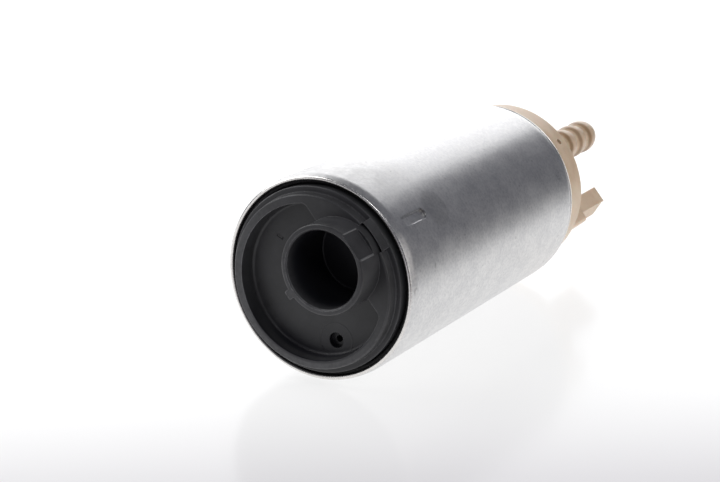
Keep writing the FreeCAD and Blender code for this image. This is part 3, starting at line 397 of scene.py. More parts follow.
@dataclass(frozen=True)
class PlatedSteel(Finish):
    """Satin plated steel sheet, sandy and slightly mottled, as on the can."""

    colour: Colour = (0.86, 0.855, 0.85)
    shade: Colour = (0.62, 0.62, 0.63)
    roughness: float = 0.34
    grain_mm: float = 0.3
    grain_depth_mm: float = 0.012
    mottle_mm: float = 5.0
    spangle_mm: float = 0.7
    tone_shares: Triple = (0.4, 0.4, 0.2)
    tone_span: Span = (0.3, 0.7)
    mottle_swing: float = 0.16
    drawn_mm: float = 0.5
    drawn_stretch: Triple = (1.0, 0.03, 1.0)
    drawn_depth: float = 0.8
    # colour of stains and of painted shade
    stain_and_shade_colour: Colour = (0.2, 0.195, 0.19)

    def material(self) -> Material:
        """Build the finish.

        Returns:
            The material.
        """
        graph = Graph(self.name)
        mottle = graph.noise(self.mottle_mm)
        grain = graph.noise(self.grain_mm, detail=3.0)
        drawn = graph.noise(self.drawn_mm, 2.0, 0.5, self.drawn_stretch)
        cells = graph.node("ShaderNodeTexVoronoi", {"Vector": graph.place, "Scale": 1.0 / (self.spangle_mm * MM)})
        spangle = Value(graph, cells.outputs["Distance"])
        of_mottle, of_grain, of_spangle = self.tone_shares
        tone = mottle * of_mottle + grain * of_grain + spangle * of_spangle
        colour = graph.blend(tone.within(*self.tone_span), self.shade, self.colour)
        # stains and painted shade over the plating
        colour = graph.blend(self.stain_and_shade(graph), colour, self.stain_and_shade_colour)
        rough = self.roughness + mottle.swing(self.mottle_swing) + grain.swing()
        depth = self.grain_depth_mm
        normal = graph.relief([(grain, depth), (drawn, depth * self.drawn_depth), *self.marks(graph)])
        return graph.finish(Base_Color=colour, Metallic=1.0, Roughness=rough, Normal=normal)


@dataclass(frozen=True)
class StampedSteel(PlatedSteel):
    """Plated sheet of the can, pulled down softly round its stamped tongues, with painted shade along their outlines.
    """

    tongues: tuple[float, ...] = (37.4, -82.6, 157.4)
    half_width: float = 1.05
    round_y: float = -27.2
    press_y: float = -21.6
    side: Span = (15.0, 17.0)
    tongue_along: Span = (-35.5, -34.8)
    round_along: Span = (-28.0, -26.9)
    # painted shade along the tongues' outlines: darker on their upper side and towards the round end
    line: Span = (0.5, 0.1)
    line_up: Span = (-0.9, 0.3)
    line_base: float = 1.2
    line_mottle: Span = (0.2, 0.6)
    line_share: float = 0.33
    press: Span = (4.4, 3.6)
    press_share: float = 0.2
    # a darker patch on top by the mouth
    mouth_top_up: Span = (16.0, 20.5)
    mouth_top_along: Span = (-14.0, -33.0)
    mouth_top_share: float = 0.42
    patch_mottle: Span = (0.1, 0.6)
    fleck_span: Span = (0.73, 0.78)
    fleck_share: float = 0.3
    pull: Span = (0.15, -0.2)
    pull_along: Span = (-35.5, -30.0)
    pull_mm: float = 0.1

    def outline(self, graph: Graph, angle: float) -> tuple[Value, Value, Value]:
        """Where a point lies by one tongue, whose far end is round.

        Args:
            graph: The finish's graph.
            angle: The tongue's angle from X towards Z, in degrees.

        Returns:
            Distance out from the outline, distance up from the middle line, and a mask of the tongue's side.
        """
        outwards, up = graph.x.turned(graph.z, angle)
        past = (graph.y - self.round_y).math("MAXIMUM", 0.0)
        side = outwards.within(*self.side) * graph.y.within(*self.tongue_along)
        return up.hypot(past) - self.half_width, up, side

    def stain_and_shade(self, graph: Graph) -> Value:
        """Painted shade along the outlines, a faint press mark past them, a darker patch on top by the mouth, and a
        few flecks.

        Args:
            graph: The finish's graph.

        Returns:
            The share.
        """
        outlines = [self.outline(graph, angle) for angle in self.tongues]
        # painted shade in the tongues' creases
        lines = sum(abs(away).within(*self.line) * up.within(*self.line_up) * side for away, up, side in outlines)
        lines = lines * (graph.y.within(*self.round_along) + self.line_base)
        lines = lines * graph.noise(0.8, detail=3.0).within(*self.line_mottle) * self.line_share
        past = graph.y - self.press_y
        pressed = sum(up.hypot(past).within(*self.press) * side for _, up, side in outlines)
        mouth_top = graph.z.within(*self.mouth_top_up) * graph.y.within(*self.mouth_top_along)
        patches = mouth_top * self.mouth_top_share + pressed * self.press_share
        flecks = graph.noise(1.3, detail=1.0, roughness=0.5).within(*self.fleck_span) * self.fleck_share
        return lines + patches * graph.noise(3.0).within(*self.patch_mottle) + flecks

    def marks(self, graph: Graph) -> list[tuple[Value, float]]:
        """Sheet pulled down round the tongues, deeper towards their far ends.

        Args:
            graph: The finish's graph.

        Returns:
            Pairs of height and depth in millimetres.
        """
        outlines = (self.outline(graph, angle) for angle in self.tongues)
        pulled = sum(away.within(*self.pull) * side for away, _, side in outlines)
        return [(1.0 - pulled * graph.y.within(*self.pull_along), self.pull_mm)]


@dataclass(frozen=True)
class MouldedResin(Finish):
    """Moulded plastic with a fine grain, cloudy flow marks, and a painted highlight that makes its convex edges
    paler.
    """

    colour: Colour
    cloud: Colour
    # colour of the painted highlight on convex edges and on the lit side
    edge_highlight: Colour
    roughness: float = 0.5
    grain_mm: float = 0.35
    grain_depth_mm: float = 0.01
    specular: float = 0.5
    subsurface: float = 0.0
    highlight_share: float = 0.5
    highlight_reach_mm: float = 0.25
    highlight_specks: Span = (0.2, 0.55)
    # colour of stains and of painted shade
    stain_and_shade_colour: Colour = (0.0, 0.0, 0.0)
    lit_side_share: float = 1.1
    lit_side_specks: Span = (0.1, 0.7)
    edge_highlight_base: float = 1.0
    cloud_mm: float = 6.0
    cloud_span: Span = (0.35, 0.7)
    cloud_swing: float = 0.18
    cloud_depth_mm: float = 0.03
    grain_swing: float = 0.1
    edge_mm: float = 0.2

    def lit_side(self, graph: Graph) -> Value | float:
        """Share of painted highlight over the faces on the lit side.

        Args:
            graph: The finish's graph.

        Returns:
            The share.
        """
        return 0.0

    def material(self) -> Material:
        """Build the finish.

        Returns:
            The material.
        """
        graph = Graph(self.name)
        cloud = graph.noise(self.cloud_mm, distortion=0.6)
        grain = graph.noise(self.grain_mm, detail=3.0)
        specks = graph.noise(0.9, detail=5.0, roughness=0.7)
        body = graph.blend(cloud.within(*self.cloud_span), self.colour, self.cloud)
        # painted highlight: paler convex edges, and paler faces on the lit side
        highlight = graph.edges(self.highlight_reach_mm) * specks.within(*self.highlight_specks) * self.highlight_share
        lit_side = self.lit_side(graph)
        lit_sheen = specks.within(*self.lit_side_specks) * (lit_side * self.lit_side_share)
        highlight = (highlight * (lit_side + self.edge_highlight_base) + lit_sheen).math("MINIMUM", 1.0)
        # stains and painted shade, which also take the painted edge highlight away
        stain_and_shade = self.stain_and_shade(graph)
        body = graph.blend(stain_and_shade, body, self.stain_and_shade_colour)
        layers = [(grain, self.grain_depth_mm), (cloud, self.cloud_depth_mm), *self.marks(graph)]
        return graph.finish(
            Base_Color=graph.blend(highlight * (1.0 - stain_and_shade), body, self.edge_highlight),
            Roughness=self.roughness + cloud.swing(self.cloud_swing) + grain.swing(self.grain_swing),
            Normal=graph.relief(layers, self.edge_mm),
            Specular_IOR_Level=self.specular,
            Subsurface_Weight=self.subsurface,
            Subsurface_Scale=0.002,
        )


@dataclass(frozen=True)
class InletResin(MouldedResin):
    """Black resin of the inlet cover, with the faint marks that its mould left on the pocket's floor."""

    colour: Colour = (0.028, 0.028, 0.03)
    cloud: Colour = (0.04, 0.04, 0.043)
    edge_highlight: Colour = (0.22, 0.22, 0.23)
    # painted shade in the bore, the vent, the pocket's foot and the rim's lower inner edge
    stain_and_shade_colour: Colour = (0.013, 0.013, 0.017)
    roughness: float = 0.42
    grain_mm: float = 0.3
    grain_depth_mm: float = 0.008
    specular: float = 0.42
    highlight_share: float = 0.85
    highlight_reach_mm: float = 0.26
    lit_side_share: float = 0.24
    edge_highlight_base: float = 0.45
    floor_y: float = -38.65
    floor: Span = (0.6, 0.3)
    vent: Centre = (3.74, -12.59)
    vent_wall: Span = (1.77, 1.67)
    vent_along: Span = (-38.55, -38.15)
    vent_shade: float = 0.9
    ring_radius: float = 3.7
    ring: Span = (0.22, 0.05)
    ring_mm: float = 0.035
    gate: Centre = (-9.4, 7.4)
    gate_tilt: float = -27.0
    gate_length: Span = (0.85, 0.6)
    gate_width: Span = (0.32, 0.12)
    gate_mm: float = 0.3
    turning_rate: float = 2.2
    turning_mm: float = 0.006
    port: Centre = (6.57, 5.39)
    port_wall: Span = (8.12, 8.04)
    port_along: Span = (-49.1, -45.3)
    foot_up: Span = (-8.5, -15.0)
    foot_along: Span = (-40.6, -40.0)
    brim_wall: Span = (17.0, 16.5)
    brim_up: Span = (-5.0, -12.0)
    brim_along: Span = (-41.6, -42.1)
    brim_shade: float = 0.85
    lean: Span = (21.0, -17.0)
    proud_along: Span = (-42.2, -42.5)

    def stain_and_shade(self, graph: Graph) -> Value:
        """Share of painted shade in the port's bore, at the pocket's foot, in the vent and on the rim's lower inner
        edge.

        Args:
            graph: The finish's graph.

        Returns:
            The share.
        """
        bore = graph.from_axis(*self.port).within(*self.port_wall) * graph.y.within(*self.port_along)
        foot = graph.z.within(*self.foot_up) * graph.y.within(*self.foot_along)
        cup = graph.from_axis(*self.vent).within(*self.vent_wall) * graph.y.within(*self.vent_along)
        brim = graph.from_axis().within(*self.brim_wall) * graph.y.within(*self.brim_along)
        brim = brim * graph.z.within(*self.brim_up) * self.brim_shade
        return bore.math("MAXIMUM", foot).math("MAXIMUM", cup * self.vent_shade).math("MAXIMUM", brim)

    def lit_side(self, graph: Graph) -> Value:
        """Share of painted highlight on what stands proud: more towards the lower left, none at the upper right.

        Args:
            graph: The finish's graph.

        Returns:
            The share.
        """
        return (graph.x + graph.z).within(*self.lean) * graph.y.within(*self.proud_along)

    def marks(self, graph: Graph) -> list[tuple[Value, float]]:
        """A raised ring round the vent, a sunk gate mark, and fine turning marks of the mould on the floor.

        Args:
            graph: The finish's graph.

        Returns:
            Pairs of height and depth in millimetres.
        """
        on_floor = abs(graph.y - self.floor_y).within(*self.floor)
        ring = abs(graph.from_axis(*self.vent) - self.ring_radius).within(*self.ring)
        along, across = (graph.x - self.gate[0]).turned(graph.z - self.gate[1], self.gate_tilt)
        gate = abs(along).within(*self.gate_length) * abs(across).within(*self.gate_width)
        turning = (graph.from_axis() * self.turning_rate).math("SINE") * 0.5 + 0.5
        return [
            (ring * on_floor, self.ring_mm),
            (1.0 - gate * on_floor, self.gate_mm),
            (turning * on_floor, self.turning_mm),
        ]


@dataclass(frozen=True)
class OutletResin(MouldedResin):
    """Beige resin of the outlet cover, with painted brown shade in the grooves of its hose nozzle."""

    colour: Colour = (0.63, 0.47, 0.33)
    cloud: Colour = (0.72, 0.57, 0.42)
    edge_highlight: Colour = (0.86, 0.75, 0.63)
    # brown of the painted shade before the crests and of the patchy stain
    stain_and_shade_colour: Colour = (0.26, 0.15, 0.07)
    roughness: float = 0.34
    grain_mm: float = 0.4
    grain_depth_mm: float = 0.006
    subsurface: float = 0.12
    highlight_share: float = 0.8
    nozzle: Centre = (9.819, 8.764)
    nozzle_wall: Span = (4.4, 4.0)
    nozzle_along: Span = (49.2, 50.5)
    groove_start: float = -1.2
    groove_pitch: float = 5.65
    groove_place: float = 0.24
    groove: Span = (0.2, 0.04)
    groove_share: float = 0.7
    patch: Span = (0.42, 0.66)
    patch_share: float = 0.2
    lit_side_up: Span = (-4.0, -14.0)
    lit_side_along: Span = (49.2, 48.6)

    def stain_and_shade(self, graph: Graph) -> Value:
        """Share of brown: painted shade strongest before each crest of the nozzle, and a patchy brown stain on the
        rest of it.

        Args:
            graph: The finish's graph.

        Returns:
            The share.
        """
        near = graph.from_axis(*self.nozzle).within(*self.nozzle_wall) * graph.y.within(*self.nozzle_along)
        turns = (graph.y - self.groove_start) / self.groove_pitch
        groove = abs(turns.math("FRACT") - self.groove_place).within(*self.groove) * self.groove_share
        patch = graph.noise(2.4).within(*self.patch) * self.patch_share
        return near * (groove + patch).math("MINIMUM", 1.0)

    def lit_side(self, graph: Graph) -> Value:
        """Share of painted light on the round side of the cover: paler towards the bottom.

        Args:
            graph: The finish's graph.

        Returns:
            The share.
        """
        return graph.z.within(*self.lit_side_up) * graph.y.within(*self.lit_side_along)


@dataclass(frozen=True)
class SoftRubber(Finish):
    """Dull black rubber with a dusty bloom."""

    colour: Colour = (0.012, 0.012, 0.013)
    bloom: Colour = (0.035, 0.035, 0.037)
    bloom_span: Span = (0.45, 0.75)
    grain_depth_mm: float = 0.01

    def material(self) -> Material:
        """Build the finish.

        Returns:
            The material.
        """
        graph = Graph(self.name)
        dust = graph.noise(1.2, detail=5.0, roughness=0.7)
        grain = graph.noise(0.15, detail=2.0, roughness=0.5)
        return graph.finish(
            Base_Color=graph.blend(dust.within(*self.bloom_span), self.colour, self.bloom),
            Roughness=0.7 + dust.swing(),
            Normal=graph.relief([(grain, self.grain_depth_mm)]),
        )


class Lay(Enum):
    """Direction of a machined surface's tool marks, as factors of the coordinates that stretch them."""

    ALONG = (1.0, 0.02, 1.0)
    AROUND = (0.05, 1.0, 0.05)
    CAST = (1.0, 1.0, 1.0)


@dataclass(frozen=True)
class WorkedMetal(Finish):
    """Bare metal with tool marks, a little tarnish and brighter edges."""

    colour: Colour
    tarnish: Colour
    roughness: float = 0.35
    lay: Lay = Lay.AROUND
    mark_mm: float = 0.25
    mark_depth_mm: float = 0.01
    mark_swing: float = 0.12
    tarnish_span: Span = (0.4, 0.75)
    tarnish_swing: float = 0.25
    edge_mm: float = 0.12
    edge_share: float = 0.6
    edge_gain: float = 1.35

    def material(self) -> Material:
        """Build the finish.

        Returns:
            The material.
        """
        graph = Graph(self.name)
        marks = graph.noise(self.mark_mm, 2.0, 0.5, self.lay.value)
        tarnish = graph.noise(2.5, detail=5.0, roughness=0.65)
        colour = graph.blend(tarnish.within(*self.tarnish_span), self.colour, self.tarnish)
        bright = tuple(min(1.0, channel * self.edge_gain) for channel in self.colour)
        return graph.finish(
            Base_Color=graph.blend(graph.edges(self.edge_mm) * self.edge_share, colour, bright),
            Metallic=1.0,
            Roughness=self.roughness + tarnish.swing(self.tarnish_swing) + marks.swing(self.mark_swing),
            Normal=graph.relief([(marks, self.mark_depth_mm)]),
        )


@dataclass(frozen=True)
class Laminations(Finish):
    """Stack of thin steel sheets: fine dark lines across the axis, with a varnish stain."""

    steel: Colour = (0.34, 0.34, 0.36)
    varnish: Colour = (0.22, 0.2, 0.17)
    gap: Colour = (0.05, 0.05, 0.05)
    sheet_mm: float = 0.5
    gap_span: Span = (0.38, 0.48)
    gap_depth_mm: float = 0.04
    varnish_span: Span = (0.35, 0.7)

    def material(self) -> Material:
        """Build the finish.

        Returns:
            The material.
        """
        graph = Graph(self.name)
        line = abs((graph.y / self.sheet_mm).math("FRACT") - 0.5).within(*self.gap_span)
        varnish = graph.noise(3.0)
        sheet = graph.blend(varnish.within(*self.varnish_span), self.steel, self.varnish)
        return graph.finish(
            Base_Color=graph.blend(line, sheet, self.gap),
            Metallic=0.9,
            Roughness=0.42 + varnish.swing(),
            Normal=graph.relief([(1.0 - line, self.gap_depth_mm)]),
        )


@dataclass(frozen=True)
class WoundWire(Finish):
    """Enamelled copper wire laid side by side."""

    shade: Colour = (0.55, 0.2, 0.07)
    colour: Colour = (0.75, 0.32, 0.12)
    gap: Colour = (0.08, 0.025, 0.01)
    wire_mm: float = 0.55
    wire_depth_mm: float = 0.12
    wander_mm: float = 0.8
    tone_span: Span = (0.3, 0.7)
    gap_span: Span = (0.6, 1.0)

    def material(self) -> Material:
        """Build the finish.

        Returns:
            The material.
        """
        graph = Graph(self.name)
        wander = graph.noise(5.0, detail=2.0, roughness=0.5) * self.wander_mm
        off_middle = abs(((graph.from_axis() + wander) / self.wire_mm).math("FRACT") - 0.5) * 2.0
        tone = graph.noise(1.4)
        copper = graph.blend(tone.within(*self.tone_span), self.shade, self.colour)
        return graph.finish(
            Base_Color=graph.blend(off_middle.within(*self.gap_span), copper, self.gap),
            Metallic=0.85,
            Roughness=0.3 + tone.swing(),
            Coat_Weight=0.4,
            Normal=graph.relief([(1.0 - off_middle ** 2.0, self.wire_depth_mm)]),
        )


@dataclass(frozen=True)
class Ferrite(Finish):
    """Dark ground ceramic with pores and chalky edges."""

    colour: Colour = (0.045, 0.045, 0.048)
    cloud: Colour = (0.075, 0.073, 0.072)
    chalk: Colour = (0.18, 0.17, 0.16)
    cloud_span: Span = (0.3, 0.7)
    edge_mm: float = 0.3
    edge_share: float = 0.5
    pore_depth_mm: float = 0.02

    def material(self) -> Material:
        """Build the finish.

        Returns:
            The material.
        """
        graph = Graph(self.name)
        pores = graph.noise(0.25, detail=3.0, roughness=0.7)
        body = graph.blend(graph.noise(4.0).within(*self.cloud_span), self.colour, self.cloud)
        return graph.finish(
            Base_Color=graph.blend(graph.edges(self.edge_mm) * self.edge_share, body, self.chalk),
            Roughness=0.62 + pores.swing(),
            Normal=graph.relief([(pores, self.pore_depth_mm)]),
        )


# ---- Surfaces on grids


KEY_ANGLE = math.radians(39.4)  # from X to the collar's key flat
MID_CAN = 39.45  # half the can's length, in millimetres


def show(name: str, data: ID) -> Object:
    """Put an object in the scene.

    Args:
        name: The object's name.
        data: Its mesh, light or camera.

    Returns:
        The object.
    """
    piece = bpy.data.objects.new(name, data)
    bpy.context.scene.collection.objects.link(piece)
    return piece


def lay_down(points: np.ndarray) -> np.ndarray:
    """Take points of the upright pump, in millimetres, to the lying frame, in metres.

    x' = x cos k + y sin k, y' = z - half the can, z' = x sin k - y cos k, with k the key angle.

    Args:
        points: Array whose last axis is (x, y, z), with x along the key direction and z along the pump.

    Returns:
        The points in the scene.
    """
    x, y, z = points[..., 0], points[..., 1], points[..., 2]
    c, s = math.cos(KEY_ANGLE), math.sin(KEY_ANGLE)
    return np.stack([x * c + y * s, z - MID_CAN, x * s - y * c], axis=-1) * MM


@dataclass(frozen=True)
class Skin:
    """A closed surface given by a grid of points, with rows along it and columns round it."""

    name: str
    points: np.ndarray
    joined: bool = False

    def quads(self) -> np.ndarray:
        """Quads between neighbours of the grid, whose columns close.

        Vertex (i, j) has the number i * columns + j. A quad joins (i, j), (i, j + 1), (i + 1, j + 1) and (i + 1, j),
        with j counted round, and i counted round as well where the last row joins the first.

        Returns:
            One row of four vertex numbers to each quad.
        """
        rows, columns = self.points.shape[:2]
        i = np.arange(rows if self.joined else rows - 1)[:, None]
        j = np.arange(columns)[None, :]
        lower, right = (i + 1) % rows, (j + 1) % columns
        corners = (i * columns + j, i * columns + right, lower * columns + right, lower * columns + j)
        return np.stack(np.broadcast_arrays(*corners), axis=-1).reshape(-1, 4)

    def hang(self, material: Material, body: str = "housing") -> Object:
        """Make the mesh, close its ends where its rows aren't joined, and let it ride on a body.

        Args:
            material: The finish.
            body: The CAD body that carries it.

        Returns:
            The object.
        """
        rows, columns = self.points.shape[:2]
        vertices = self.points.reshape(-1, 3)
        faces = self.quads().tolist()
        if not self.joined:
            first, last = len(vertices), len(vertices) + 1
            vertices = np.vstack([vertices, self.points[0].mean(axis=0), self.points[-1].mean(axis=0)])
            j = np.arange(columns)
            right = (j + 1) % columns
            start = (rows - 1) * columns
            faces += np.stack([np.full(columns, first), right, j], axis=-1).tolist()
            faces += np.stack([np.full(columns, last), start + j, start + right], axis=-1).tolist()
        mesh = bpy.data.meshes.new(self.name)
        mesh.from_pydata(vertices.tolist(), [], faces)
        mesh.polygons.foreach_set("use_smooth", np.ones(len(mesh.polygons), dtype=bool))
        mesh.materials.append(material)
        piece = show(self.name, mesh)
        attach(piece, body)
        log.info("%s: %d faces on %s", self.name, len(mesh.polygons), body)
        return piece


def tube(path: np.ndarray, along: np.ndarray, side: np.ndarray, radius: float, columns: int) -> np.ndarray:
    """Round wire along a path.

    Point (i, j) = path i + radius * (cos a * side i + sin a * (along i x side i)), with a = 2 pi j / columns.

    Args:
        path: Points of the wire's middle.
        along: Unit tangents.
        side: Unit vectors across the tangents.
        radius: Radius of the wire.
        columns: Points round the wire.

    Returns:
        The grid of points.
    """
    angle = np.linspace(0.0, math.tau, columns, endpoint=False)[None, :, None]
    other = np.cross(along, side)
    return path[:, None, :] + radius * (np.cos(angle) * side[:, None, :] + np.sin(angle) * other[:, None, :])


@dataclass(frozen=True)
class Coil:
    """Compression spring with closed end turns, in the place of a CAD spring."""

    node: str
    joint: str
    keep: float
    wire_radius: float
    active_turns: float
    end_turns: float = 1.0
    closed_pitch: float = 1.04
    blend_turns: float = 1.0 / 3.0
    steps: int = 40
    columns: int = 14

    def wind(self, material: Material) -> None:
        """Wind the wire inside the CAD spring's box and replace that node.

        The wire's middle is (R cos t, h(t), -R sin t) round the box's middle. h rises by about one wire a turn
        in the closed end turns and evenly between them, blended over a third of a turn.

        Args:
            material: The finish.
        """
        low, high = (np.array(corner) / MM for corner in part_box(self.node))
        middle = (low + high) / 2.0
        wire = self.wire_radius
        radius = (high[0] - low[0]) / 2.0 - wire
        turns = self.active_turns + 2.0 * self.end_turns
        t = np.linspace(0.0, turns, int(turns * self.steps) + 1)
        closed = 2.0 * wire * self.closed_pitch
        rise = high[1] - low[1] - 2.0 * wire
        step_in = np.clip((t - self.end_turns) / self.blend_turns + 0.5, 0.0, 1.0)
        step_out = np.clip((turns - self.end_turns - t) / self.blend_turns + 0.5, 0.0, 1.0)
        open_share = np.minimum(step_in, step_out)
        open_length = np.concatenate([[0.0], np.cumsum((open_share[1:] + open_share[:-1]) / 2.0 * np.diff(t))])
        pitch = (rise - closed * turns) / open_length[-1]
        height = low[1] + wire + closed * t + pitch * open_length
        angle = math.tau * t
        path = np.stack([middle[0] + radius * np.cos(angle), height, middle[2] - radius * np.sin(angle)], axis=-1)
        climb = (closed + pitch * open_share) / math.tau
        along = np.stack([-radius * np.sin(angle), climb, -radius * np.cos(angle)], axis=-1)
        along /= np.linalg.norm(along, axis=-1, keepdims=True)
        side = np.stack([np.cos(angle), np.zeros_like(angle), -np.sin(angle)], axis=-1)
        grid = tube(path, along, side, wire, self.columns) * MM
        piece = Skin(self.node + "_coil", grid).hang(material)
        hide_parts(self.node)
        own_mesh(piece)


# ---- The pump's pieces


Outfit = tuple[Finish, tuple[str, ...]]  # a finish and the CAD nodes that wear it


@dataclass(frozen=True)
class Assembly:
    """A part of the pump, whose CAD nodes wear finishes."""

    outfits: tuple[Outfit, ...] = ()

    def build(self) -> None:
        """Put each finish on its nodes."""
        for finish, nodes in self.outfits:
            material = finish.material()
            for name in nodes:
                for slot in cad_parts[name].material_slots:
                    slot.material = material
                log.info("%s wears %s", name, finish.name)


@dataclass(frozen=True)
class Can(Assembly):
    """The rolled steel can and the sleeve inside it, in millimetres."""

    outfits: tuple[Outfit, ...] = (
        (StampedSteel("can_steel"), ("housing_can",)),
        (WorkedMetal("flux_steel", (0.4, 0.41, 0.43), (0.28, 0.27, 0.26), 0.45), ("flux_ring",)),
    )
    edge: PlatedSteel = PlatedSteel("edge_steel", (0.9, 0.88, 0.85), (0.74, 0.72, 0.7), 0.26, grain_depth_mm=0.004)
    rows: int = 240
    lip_radius: float = 20.78
    lip_section: float = 0.42
    lip_height: float = 0.3
    lip_columns: int = 20
    crimp_sheet: float = 0.35
    crimp_bend: float = 4.0
    crimp_arc: tuple[float, float] = (8.0, 33.0)
    crimp_through: tuple[float, float] = (21.22, 78.92)
    crimp_angle: float = 20.0
    crimp_steps: int = 16

    def ring(self, name: str, r: np.ndarray, h: np.ndarray) -> Skin:
        """Carry a closed section once round the axis.

        Point (i, j) = (r j cos t i, r j sin t i, h j), with t from 0 to 2 pi.

        Args:
            name: Name of the piece.
            r: Distances of the section's points from the axis.
            h: Their heights.

        Returns:
            The ring's surface.
        """
        t = np.linspace(0.0, math.tau, self.rows, endpoint=False)[:, None]
        grid = np.stack(np.broadcast_arrays(r * np.cos(t), r * np.sin(t), h), axis=-1)
        return Skin(name, lay_down(grid), joined=True)

    def lip(self) -> Skin:
        """Rolled edge of the can's mouth, whose section is a circle.

        Returns:
            The ring's surface.
        """
        angle = np.linspace(0.0, math.tau, self.lip_columns, endpoint=False)
        r = self.lip_radius + self.lip_section * np.cos(angle)
        return self.ring("inlet_lip_bead", r, self.lip_height - self.lip_section * np.sin(angle))

    def crimp(self) -> Skin:
        """Rolled-over end of the can: a band of sheet whose section is part of a circle.

        The section runs along an arc of the bend radius and back along an arc one sheet further in. Its angles
        are measured from straight outwards towards the can's end, and the arc goes through a given point.

        Returns:
            The ring's surface.
        """
        turn = math.radians(self.crimp_angle)
        middle_r = self.crimp_through[0] - self.crimp_bend * math.cos(turn)
        middle_h = self.crimp_through[1] - self.crimp_bend * math.sin(turn)
        bend = np.radians(np.linspace(*self.crimp_arc, self.crimp_steps))
        angle = np.concatenate([bend, bend[::-1]])
        depth = np.repeat([self.crimp_bend, self.crimp_bend - self.crimp_sheet], self.crimp_steps)
        r, h = middle_r + depth * np.cos(angle), middle_h + depth * np.sin(angle)
        return self.ring("outlet_crimp", r[::-1], h[::-1])

    def build(self) -> None:
        """Dress the can and roll its two edges."""
        super().build()
        bare = self.edge.material()
        self.lip().hang(bare)
        self.crimp().hang(bare)


@dataclass(frozen=True)
class InletEnd(Assembly):
    """Black inlet cover, seal rings and turbine stage, in millimetres."""

    outfits: tuple[Outfit, ...] = (
        (InletResin("inlet_resin"), ("inlet_cover",)),
        (SoftRubber("seal_rubber"), ("inlet_seal_ring", "outlet_seal_ring")),
        (MouldedResin("casing_resin", (0.03, 0.03, 0.032), (0.05, 0.05, 0.052), (0.12, 0.12, 0.12), 0.5),
         ("pump_casing", "commutator_hub")),
        (MouldedResin("impeller_resin", (0.1, 0.05, 0.028), (0.14, 0.075, 0.04), (0.25, 0.15, 0.09), 0.42),
         ("impeller",)),
        (WorkedMetal("ground_steel", (0.6, 0.6, 0.62), (0.42, 0.4, 0.38), 0.22, Lay.ALONG, 0.12, 0.004),
         ("thrust_button", "rotor_shaft")),
        (WorkedMetal("sintered_bronze", (0.5, 0.31, 0.15), (0.3, 0.18, 0.09), 0.5, Lay.CAST, 0.2, 0.02),
         ("lower_bearing", "upper_bearing")),
    )
    # paler than the cover: painted highlight along the key flat's edges
    lit_flash_resin: MouldedResin = MouldedResin("lit_flash_resin", (0.1, 0.1, 0.105), (0.13, 0.13, 0.135), (0.2, 0.2, 0.2))
    key_flat: float = 17.05
    key_edges: tuple[float, float] = (-3.0, 3.02)
    key_span: tuple[float, float] = (-9.55, -4.5)
    flash_radii: tuple[float, float] = (0.17, 0.24)
    flash_steps: int = 25
    flash_columns: int = 16

    def flash(self, name: str, edge: float, radius: float) -> Skin:
        """Rounded line of flash along one edge of the collar's key flat.

        Path = (flat, edge, z), with z over the span, and a round section.

        Args:
            name: Name of the piece.
            edge: The edge's distance from the flat's middle.
            radius: Radius of the section.

        Returns:
            The line's surface.
        """
        z = np.linspace(*self.key_span, self.flash_steps)
        path = np.stack([np.full_like(z, self.key_flat), np.full_like(z, edge), z], axis=-1)
        along = np.broadcast_to([0.0, 0.0, 1.0], path.shape)
        side = np.broadcast_to([1.0, 0.0, 0.0], path.shape)
        return Skin(name, lay_down(tube(path, along, side, radius, self.flash_columns)))

    def build(self) -> None:
        """Dress the inlet end and add the flash."""
        super().build()
        pale = self.lit_flash_resin.material()
        for number, (edge, radius) in enumerate(zip(self.key_edges, self.flash_radii)):
            self.flash(f"key_flash_{number}", edge, radius).hang(pale)


@dataclass(frozen=True)
class Motor(Assembly):
    """Armature, magnets, commutator, brush gear, and the springs of brushes and valves."""

    outfits: tuple[Outfit, ...] = (
        (Laminations("core_laminations"), ("armature_core",)),
        (WoundWire("winding_wire"), ("armature_windings",)),
        (MouldedResin("insulator_resin", (0.03, 0.07, 0.24), (0.05, 0.1, 0.3), (0.15, 0.2, 0.4), 0.5),
         ("armature_insulators",)),
        (Ferrite("magnet_ferrite"), ("magnet_north", "magnet_south", "choke_positive", "choke_negative")),
        (WorkedMetal("spring_steel", (0.48, 0.48, 0.5), (0.33, 0.3, 0.26), 0.3, Lay.CAST, 0.2, 0.005),
         ("magnet_springs",)),
        (WorkedMetal("segment_copper", (0.75, 0.38, 0.22), (0.45, 0.2, 0.12), 0.28, Lay.AROUND, 0.15, 0.006),
         ("commutator_segments",)),
        (MouldedResin("holder_resin", (0.03, 0.03, 0.033), (0.05, 0.05, 0.052), (0.13, 0.13, 0.13), 0.55),
         ("brush_holder",)),
        (MouldedResin("brush_carbon", (0.03, 0.03, 0.031), (0.055, 0.054, 0.055), (0.16, 0.16, 0.16), 0.38),
         ("brush_positive", "brush_negative")),
    )
    wire: WorkedMetal = WorkedMetal("spring_wire", (0.62, 0.62, 0.64), (0.45, 0.43, 0.4), 0.24, Lay.CAST, 0.15, 0.003)
    coils: tuple[Coil, ...] = (
        Coil("brush_spring_positive", "brush_a_slide", keep=0.61, wire_radius=0.22, active_turns=4.0),
        Coil("brush_spring_negative", "brush_b_slide", keep=0.61, wire_radius=0.22, active_turns=4.0),
        Coil("check_valve_spring", "check_valve_lift", keep=0.69, wire_radius=0.25, active_turns=3.0),
        Coil("relief_valve_spring", "relief_valve_lift", keep=0.82, wire_radius=0.2, active_turns=3.5),
    )

    def build(self) -> None:
        """Dress the motor and wind the springs."""
        super().build()
        material = self.wire.material()
        for coil in self.coils:
            coil.wind(material)


